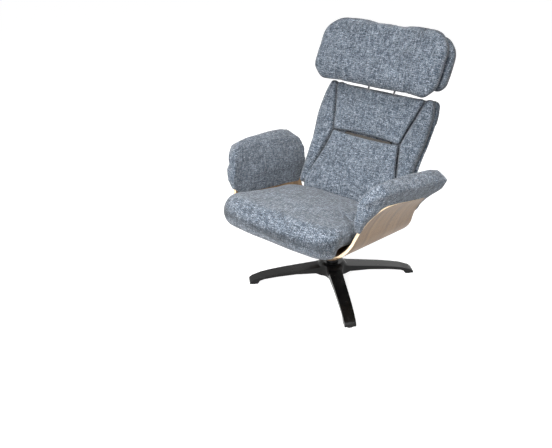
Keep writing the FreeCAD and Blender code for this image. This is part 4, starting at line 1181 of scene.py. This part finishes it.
@dataclass
class MouldedShell:
    """The moulded ply seat shell, in the shell frame's millimetres."""

    ply: float = 11.0
    floor_half: float = 180.0
    corner: float = 100.0
    corner_stop: float = math.radians(10)
    front_flare: float = 340.0
    rear_flare: float = 200.0
    top: float = 224.0
    front: float = -366.0
    rear: float = 140.0
    arm_rear: float = 90.0
    rows: int = 110
    columns: int = 72
    edge_round: float = 2.2

    def __post_init__(self) -> None:
        """Trace the rim once, finely, from the front of the floor to its rear."""
        top, arm = self.top, self.arm_rear
        rim = [(self.front, 0), (self.front, 0.1 * top), (self.front + 8, 0.2 * top),
               (self.front + 28, 0.38 * top), (self.front + 43, 0.62 * top),
               (self.front + 62, 0.83 * top), (self.front + 84, 0.955 * top),
               (self.front + 126, top), (self.front + 266, top - 11), (arm - 50, top - 24),
               (arm - 8, top - 35), (arm + 12, 0.68 * top), (self.rear - 20, 0.43 * top),
               (self.rear - 5, 0.18 * top), (self.rear, 0)]
        along, height = np.array(rim, float).T
        run = np.concatenate([[0], np.cumsum(np.hypot(np.diff(along), np.diff(height)))])
        fine = np.linspace(0, run[-1], 600)
        self.rim_along = np.maximum.accumulate(smooth_curve(run, along)(fine))
        self.rim_along = np.clip(self.rim_along, self.front, self.rear)
        self.rim_high = np.maximum(smooth_curve(run, height)(fine), 0.0)

    def rim_height(self, along: np.ndarray) -> np.ndarray:
        """Height of the rim at a place along the shell."""
        return np.interp(along, self.rim_along + np.linspace(0, 1e-6, 600), self.rim_high)

    def flare(self, along: np.ndarray) -> np.ndarray:
        """Radius of the wall's outward flare."""
        share = (along - self.front + 20) / (self.rear - self.front + 40)
        return self.front_flare + share * (self.rear_flare - self.front_flare)

    def wall(self, along: np.ndarray, height: np.ndarray, depth: float) -> np.ndarray:
        """How far out the wall stands.

        Args:
            along: places along the shell.
            height: heights on the wall.
            depth: how far inside the outer face.

        Returns:
            The distance from the middle plane.
        """
        flare = self.flare(along)
        reach = self.corner + flare
        centre_x = self.floor_half + reach * math.cos(self.corner_stop)
        centre_z = self.corner - reach * math.sin(self.corner_stop)
        inside = np.maximum((flare + depth) ** 2 - (height - centre_z) ** 2, 0)
        return centre_x - np.sqrt(inside)

    def section(self, along: float, travel: np.ndarray, depth: float) -> Points:
        """Points across one section, by distance round its outer face from the middle.

        Args:
            along: the section's place.
            travel: distances from the middle plane, all positive.
            depth: how far inside the outer face.

        Returns:
            Rows of x, y, z.
        """
        flare = float(self.flare(np.array(along)))
        turn = self.corner * (math.pi / 2 - self.corner_stop)
        low = np.clip(travel - self.floor_half, 0, turn) / self.corner - math.pi / 2
        reach = self.corner - depth
        x = np.minimum(travel, self.floor_half) + reach * np.cos(low)
        z = self.corner + reach * np.sin(low)
        high = self.corner_stop + np.maximum(travel - self.floor_half - turn, 0) / flare
        span = self.corner + flare
        centre_x = self.floor_half + span * math.cos(self.corner_stop)
        centre_z = self.corner - span * math.sin(self.corner_stop)
        on_wall = travel > self.floor_half + turn
        x = np.where(on_wall, centre_x - (flare + depth) * np.cos(high), x)
        z = np.where(on_wall, centre_z + (flare + depth) * np.sin(high), z)
        return np.column_stack([x, np.full(len(travel), along), z])

    def reach_to(self, along: float, height: float, depth: float) -> float:
        """Distance round the outer face to where this depth stands at a height."""
        travel = np.linspace(self.floor_half * 0.5, self.floor_half + 420, 400)
        heights = self.section(along, travel, depth)[:, 2]
        return float(np.interp(height, heights, travel))

    def build(self) -> bpy.types.Object:
        """Make both faces and the rounded edge between them.

        Returns:
            The finished shell.
        """
        shares = (1 - np.cos(np.linspace(0, math.pi, self.rows))) / 2
        shares = 0.55 * shares + 0.45 * np.linspace(0, 1, self.rows)
        places = self.front + shares * (self.rear - self.front)
        across = np.sin(np.linspace(-math.pi / 2, math.pi / 2, 2 * self.columns + 1))
        across = 0.35 * across + 0.65 * np.linspace(-1, 1, len(across))
        layers = [self.layer(places, across, depth) for depth in (0.0, self.ply)]
        grids = [np.stack([row for row in layer]) for layer in layers]
        rim = self.rim_loop(grids[0].shape[:2])
        points, faces, uvs, edge_faces = self.stitch(grids, rim, places, across)
        piece = new_piece_raw("moulded_shell", SHELL_FRAME.world(points * MM), faces)
        layer = piece.data.uv_layers.new(name=WEAVE_UV)
        layer.data.foreach_set("uv", np.array(uvs, np.float32).ravel())
        piece.data.materials.append(VENEER.make())
        piece.data.materials.append(PLY_EDGE.make())
        piece.data.polygons.foreach_set("material_index", edge_faces)
        shade_smooth(piece)
        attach(piece, "seat")
        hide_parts("seat_shell")
        LOG.info("moulded_shell: %d faces, rides on seat", len(faces))
        return piece

    def layer(self, places: np.ndarray, across: np.ndarray, depth: float) -> list[Points]:
        """One face of the shell, section by section."""
        rows = []
        for along in places:
            height = float(self.rim_height(np.array(along)))
            limit = self.reach_to(along, max(height, depth + 0.5), depth)
            row = self.section(along, np.abs(across) * limit, depth)
            row[:, 0] *= np.sign(across) + (across == 0)
            row[across == 0, 0] = 0.0
            rows.append(row)
        return rows

    @staticmethod
    def rim_loop(shape: tuple[int, int]) -> list[tuple[int, int]]:
        """Grid places round the border, in order."""
        rows, columns = shape
        loop = [(0, j) for j in range(columns)]
        loop += [(i, columns - 1) for i in range(1, rows)]
        loop += [(rows - 1, j) for j in range(columns - 2, -1, -1)]
        return loop + [(i, 0) for i in range(rows - 2, 0, -1)]

    def stitch(self, grids: list[Points], rim: list[tuple[int, int]], places: np.ndarray,
               across: np.ndarray) -> tuple[Points, list, list, list[int]]:
        """Join the two faces with a rounded edge.

        Args:
            grids: the outer and the inner face, as grids of points.
            rim: the border's grid places in order.
            places: where the rows stand.
            across: the columns' shares; not used.

        Returns:
            Points, faces, a map coordinate for each face corner, and each face's material.
        """
        rows, columns = grids[0].shape[:2]
        count = rows * columns
        points = [grids[0].reshape(-1, 3), grids[1].reshape(-1, 3)]
        numbers = np.arange(count).reshape(rows, columns)
        faces, uvs, kinds = [], [], []
        lengths = np.stack([np.concatenate([[0], np.cumsum(np.linalg.norm(
            np.diff(row, axis=0), axis=1))]) for row in grids[0]]) * MM
        lengths -= lengths[:, columns // 2][:, None]

        def spot(i: int, j: int) -> tuple[float, float]:
            return places[i] * MM, lengths[i, j]

        for i in range(rows - 1):
            for j in range(columns - 1):
                a, b = numbers[i, j], numbers[i, j + 1]
                c, d = numbers[i + 1, j + 1], numbers[i + 1, j]
                quad = [spot(i, j), spot(i, j + 1), spot(i + 1, j + 1), spot(i + 1, j)]
                faces += [(a, d, c, b), (a + count, b + count, c + count, d + count)]
                uvs += [quad[0], quad[3], quad[2], quad[1], *quad]
                kinds += [0, 0]
        outer = np.array([grids[0][i, j] for i, j in rim])
        inner = np.array([grids[1][i, j] for i, j in rim])
        around = (np.roll(outer, -1, axis=0) - np.roll(outer, 1, axis=0))
        through = inner - outer
        push = np.cross(through, around)
        push /= np.maximum(np.linalg.norm(push, axis=1, keepdims=True), 1e-9)
        centre = grids[0][rows // 2, columns // 2]
        sign = np.sign(((outer - centre) * push).sum(axis=1).mean())
        steps = ((0.10, 0.55), (0.24, 0.9), (0.5, 1.0), (0.76, 0.9), (0.90, 0.55))
        bands = [[numbers[i, j] for i, j in rim]]
        for k, (share, out) in enumerate(steps):
            points.append(outer + through * share + sign * push * out * self.edge_round)
            start = 2 * count + k * len(rim)
            bands.append(list(range(start, start + len(rim))))
        bands.append([numbers[i, j] + count for i, j in rim])
        travel = np.concatenate([[0], np.cumsum(np.linalg.norm(
            np.roll(outer, -1, axis=0) - outer, axis=1))]) * MM
        shares = [0.0] + [share for share, _ in steps] + [1.0]
        for k in range(len(bands) - 1):
            for n in range(len(rim)):
                m = (n + 1) % len(rim)
                faces.append((bands[k][n], bands[k][m], bands[k + 1][m], bands[k + 1][n]))
                uvs += [(shares[k], travel[n]), (shares[k], travel[n + 1]),
                        (shares[k + 1], travel[n + 1]), (shares[k + 1], travel[n])]
                kinds.append(1)
        return np.concatenate(points), faces, uvs, kinds


def new_piece_raw(name: str, points: Points, faces: Sequence[Sequence[int]]) -> bpy.types.Object:
    """Make a mesh object whose faces already turn outwards."""
    mesh = bpy.data.meshes.new(name)
    mesh.from_pydata([tuple(p) for p in points], [], [tuple(int(n) for n in f) for f in faces])
    piece = bpy.data.objects.new(name, mesh)
    bpy.context.scene.collection.objects.link(piece)
    return piece


SHELL = MouldedShell()


# Base, back and headrest ------------------------------------------------------------------------

@dataclass
class SoftenedNode:
    """A packed hard part redrawn with its edges broken, as a cast or turned part has them."""

    node: str
    name: str
    body: str
    slot: str
    width: float = 2.0
    segments: int = 3
    limit_deg: float = 24.0

    def build(self) -> bpy.types.Object:
        """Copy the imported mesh, merge it, and bevel its sharp edges.

        Returns:
            The finished piece.
        """
        piece = bpy.data.objects.new(self.name, frame["nodes"][self.node].data.copy())
        bpy.context.scene.collection.objects.link(piece)
        tidy_normals(piece, 1e-5)
        work = bmesh.new()
        work.from_mesh(piece.data)
        bmesh.ops.dissolve_limit(work, angle_limit=math.radians(1.0), verts=work.verts,
                                 edges=work.edges)
        work.to_mesh(piece.data)
        work.free()
        bevel = piece.modifiers.new("Bevel", "BEVEL")
        bevel.width = self.width * MM
        bevel.segments = self.segments
        bevel.angle_limit = math.radians(self.limit_deg)
        bake_modifiers(piece)
        shade_smooth(piece)
        piece.data.materials.clear()
        piece.data.materials.append(SLOT_FINISHES[self.slot].make())
        mark = piece.modifiers.new("Normals", "WEIGHTED_NORMAL")
        mark.keep_sharp = True
        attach(piece, self.body)
        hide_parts(self.node)
        LOG.info("%s: %d faces, rides on %s", self.name, len(piece.data.polygons), self.body)
        return piece


@dataclass
class Back:
    """The padded back: two panels between two bolsters, and a cover behind."""

    pad_rear: float = 12.5
    pad_front: float = 50.0
    waist: float = 257.0
    waist_half: float = 155.0
    foot: float = -25.0
    foot_half: float = 229.0
    top: float = 456.0
    top_half: float = 207.0
    bolster_rear: float = -12.0
    cover_rear: float = -48.0

    def panel(self, name: str, node: str, right: list[Corner], **more: object) -> Pad:
        """One of the two panels that the sitter leans on."""
        return Pad(name, node, "backrest", BACK_FRAME, Facing.FORWARD, both_sides(right),
                   rear=self.pad_rear, front=self.pad_front, rest_low=self.pad_rear, **more)

    def pads(self) -> list[Pad]:
        """Every padded piece of the back."""
        gap = 1.0
        lumbar = self.panel("lumbar_cushion", "lumbar_pad", [
            Corner(self.foot_half - 20, self.foot, 24, 16),
            Corner(self.foot_half - 6, 30, 60, 16),
            Corner(self.waist_half + 24, self.waist - 95, 150, 16),
            Corner(self.waist_half, self.waist - gap, 9, 15),
        ], crown=5.0, middle=0.42, swell=8.0, seed=2.0)
        upper = self.panel("upper_back_cushion", "upper_back_pad", [
            Corner(self.waist_half, self.waist + gap, 9, 16),
            Corner(self.top_half, self.top, 14, 18),
        ], crown=5.0, middle=0.42, swell=8.0, seed=3.0)
        return [lumbar, upper, *(self.bolster(side) for side in Side), self.rear_cover()]

    def bolster(self, side: Side) -> Pad:
        """The long pad that rounds off one side of the back."""
        gap = 1.0
        right = [
            Corner(self.foot_half - 14, 2, 18, 12),
            Corner(247, 0, 26, 27),
            Corner(247, 200, 300, 27),
            Corner(257, 300, 300, 27),
            Corner(253, 400, 200, 26),
            Corner(238, 461, 26, 16),
            Corner(self.top_half + gap, 460, 12, 13),
            Corner(self.waist_half + gap + 1, self.waist, 12, 13),
            Corner(self.waist_half + 26, self.waist - 95, 150, 12),
        ]
        corners = right if side is Side.LEFT else [
            Corner(-c.across, c.along, c.turn, right[i - 1].edge)
            for i, c in reversed(list(enumerate(right)))]
        name = side.name.lower()
        return Pad(f"back_bolster_{name}", f"bolster_{name}", "backrest", BACK_FRAME,
                   Facing.FORWARD, corners, rear=self.bolster_rear, front=self.pad_front - 2,
                   middle=0.5, crown=3.0, swell=6.0, fill=0.7, seed=5.0 + side.value)

    def rear_cover(self) -> Pad:
        """The upholstered cover over the back frame, seen from behind."""
        right = [
            Corner(244, 26, 40, 30), Corner(247, 200, 300, 30), Corner(256, 300, 300, 30),
            Corner(252, 400, 200, 30), Corner(238, 469, 34, 28),
        ]
        return Pad("rear_cover", "back_rear_cover", "backrest", BACK_FRAME, Facing.FORWARD,
                   both_sides(right), rear=self.cover_rear, front=-12.8, middle=0.62,
                   crown=0.0, swell=6.0, fill=0.75, rest_high=-12.7, seed=8.0,
                   voxel=6.0)


@dataclass
class Headrest:
    """The head pillow and the pad behind it, both curved round the sitter's head."""

    wrap: float = 40.0

    def pads(self) -> list[Pad]:
        """The two pads."""
        pillow = Pad("head_pillow_cover", "head_pillow", "headrest", BACK_FRAME, Facing.FORWARD,
                     both_sides([
                         Corner(238, 442, 40, 30), Corner(277, 484, 48, 33),
                         Corner(277, 640, 84, 33), Corner(226, 694, 88, 33),
                         Corner(110, 708, 300, 33),
                     ]), rear=72.5, front=133.0, middle=0.46, crown=4.0, bow=self.wrap,
                     swell=9.0, fill=0.7, rest_low=71.5, seed=9.0, seam_shade_width=4.0)
        nape = Pad("nape_pad_cover", "nape_pad", "headrest", BACK_FRAME, Facing.FORWARD,
                   both_sides([
                       Corner(262, 487, 26, 22), Corner(287, 510, 40, 22),
                       Corner(287, 640, 80, 24), Corner(236, 695, 88, 24),
                       Corner(110, 706, 300, 24),
                   ]), rear=12.5, front=66.5, middle=0.55, crown=2.0, bow=self.wrap,
                   swell=6.0, fill=0.75, rest_high=69.0, seed=11.0, voxel=6.0)
        return [pillow, nape]


# Studio -----------------------------------------------------------------------------------------

@dataclass
class Studio:
    """A pale floor, soft lamps and the camera."""

    lens: float = 40.42
    camera_place: tuple[float, float, float] = (1.19088, -1.93142, 1.51865)
    camera_turn_deg: tuple[float, float, float] = (60.9, 0.0, 37.8)
    floor_half: float = 20.0

    def build(self) -> None:
        """Set up everything that isn't the chair."""
        self.camera()
        self.floor()
        self.world()
        self.lamp("key", (0.6, -2.4, 1.9), 1.4, 19.0, 60.0)
        self.lamp("top", (0.3, -0.6, 3.2), 2.2, 20.0, 120.0)
        self.lamp("side", (2.9, 0.9, 1.4), 2.0, 14.0, 150.0)
        self.lamp("fill", (-3.0, -1.0, 1.6), 2.4, 9.0, 150.0)
        self.lamp("rear", (-1.0, 3.0, 2.2), 2.2, 10.0, 150.0)
        bpy.context.scene.view_settings.view_transform = "Standard"

    def camera(self) -> None:
        """Stand the camera in front, to the sitter's left and above."""
        camera = bpy.data.objects.new("camera", bpy.data.cameras.new("camera"))
        bpy.context.scene.collection.objects.link(camera)
        camera.data.lens = self.lens
        camera.data.sensor_width = 36.0
        camera.location = self.camera_place
        camera.rotation_euler = [math.radians(a) for a in self.camera_turn_deg]
        bpy.context.scene.camera = camera

    def floor(self) -> None:
        """A matt floor that looks white to the camera and still takes the shadow."""
        half = self.floor_half
        corners = [(-half, -half, 0), (half, -half, 0), (half, half, 0), (-half, half, 0)]
        floor = new_piece_raw("floor", np.array(corners, float), [(0, 1, 2, 3)])
        material = bpy.data.materials.new("floor_finish")
        material.use_nodes = True
        material.node_tree.nodes.clear()
        wires = Wires(material.node_tree)
        paint = wires.add("ShaderNodeBsdfDiffuse", {"Color": (0.50, 0.50, 0.50, 1.0)})
        glow = wires.add("ShaderNodeEmission", {
            "Color": (1.0, 1.0, 1.0, 1.0), "Strength": self.seen(wires, 0.79)})
        both = wires.add("ShaderNodeAddShader", {0: paint.outputs[0], 1: glow.outputs[0]})
        wires.add("ShaderNodeOutputMaterial", {"Surface": both.outputs[0]})
        floor.data.materials.append(material)

    @staticmethod
    def seen(wires: Wires, strength: float) -> bpy.types.NodeSocket:
        """A strength that counts only where the camera, gloss or glass looks."""
        rays = wires.add("ShaderNodeLightPath")
        either = wires.math("MAXIMUM", rays.outputs["Is Camera Ray"],
                            rays.outputs["Is Glossy Ray"])
        either = wires.math("MAXIMUM", either, rays.outputs["Is Transmission Ray"])
        return wires.math("MULTIPLY", either, strength)

    def world(self) -> None:
        """Even sky light, and plain white where it is looked at."""
        world = bpy.data.worlds.new("studio")
        world.use_nodes = True
        world.node_tree.nodes.clear()
        wires = Wires(world.node_tree)
        strength = wires.math("MAXIMUM", self.seen(wires, 1.0), 0.42)
        sky = wires.add("ShaderNodeBackground", {
            "Color": (1.0, 1.0, 1.0, 1.0), "Strength": strength})
        wires.add("ShaderNodeOutputWorld", {"Surface": sky.outputs[0]})
        bpy.context.scene.world = world

    @staticmethod
    def lamp(name: str, place: tuple[float, float, float], size: float, power: float,
             spread_deg: float) -> None:
        """Hang a square soft lamp that faces the chair.

        Args:
            name: the lamp's name.
            place: where it hangs.
            size: its side.
            power: its power in watts.
            spread_deg: how wide its light fans out.
        """
        light = bpy.data.lights.new(name, "AREA")
        light.size = size
        light.energy = power
        light.spread = math.radians(spread_deg)
        lamp = bpy.data.objects.new(name, light)
        bpy.context.scene.collection.objects.link(lamp)
        lamp.location = place
        aim = Vector((0.0, -0.15, 0.35)) - Vector(place)
        lamp.rotation_euler = aim.to_track_quat("-Z", "Y").to_euler()


# The whole chair --------------------------------------------------------------------------------

def dress_fittings() -> None:
    """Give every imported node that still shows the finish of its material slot."""
    slots = {name: material["slot"] for material in frame["record"]["materials"]
             for name in material.get("nodes", [])}
    for name, node in frame["nodes"].items():
        if node.hide_render:
            continue
        slot = slots.get(name) or node.data.materials[0].name.split(".")[0]
        node.data.materials[0] = SLOT_FINISHES[slot].make()
        LOG.info("%s: finished as %s", name, slot)


def seat_cushion() -> SeatCushion:
    """The seat cushion at its place between the arms."""
    return SeatCushion(
        "seat_cushion_cover", "seat_cushion", "seat_carriage", SHELL_FRAME, Facing.UP,
        both_sides([
            Corner(120, -478, 400, 50), Corner(212, -462, 90, 48), Corner(250, -424, 70, 40),
            Corner(257, -340, 80, 34), Corner(257, 36, 24, 24),
        ]), swell=13.0, fill=0.65, voxel=6.0, ripple_height=2.4, seed=1.0)


def main() -> None:
    """Build the chair piece by piece, then the studio."""
    logging.basicConfig(level=logging.INFO, format="%(message)s")
    sewing: dict[str, RunningStitch] = {}
    for pad in (seat_cushion(), *Back().pads(), *Headrest().pads()):
        piece = pad.build()
        if pad.name != "rear_cover":
            sewing.setdefault(pad.body, RunningStitch(pad.body)).follow(pad, piece)
    for stitches in sewing.values():
        stitches.build()
    for side in Side:
        ArmPad(side).build()
    SHELL.build()
    SoftenedNode("star_base", "star_foot", "base", "black_gloss", width=2.2).build()
    dress_fittings()
    Studio().build()


if __name__ == "__main__":
    main()
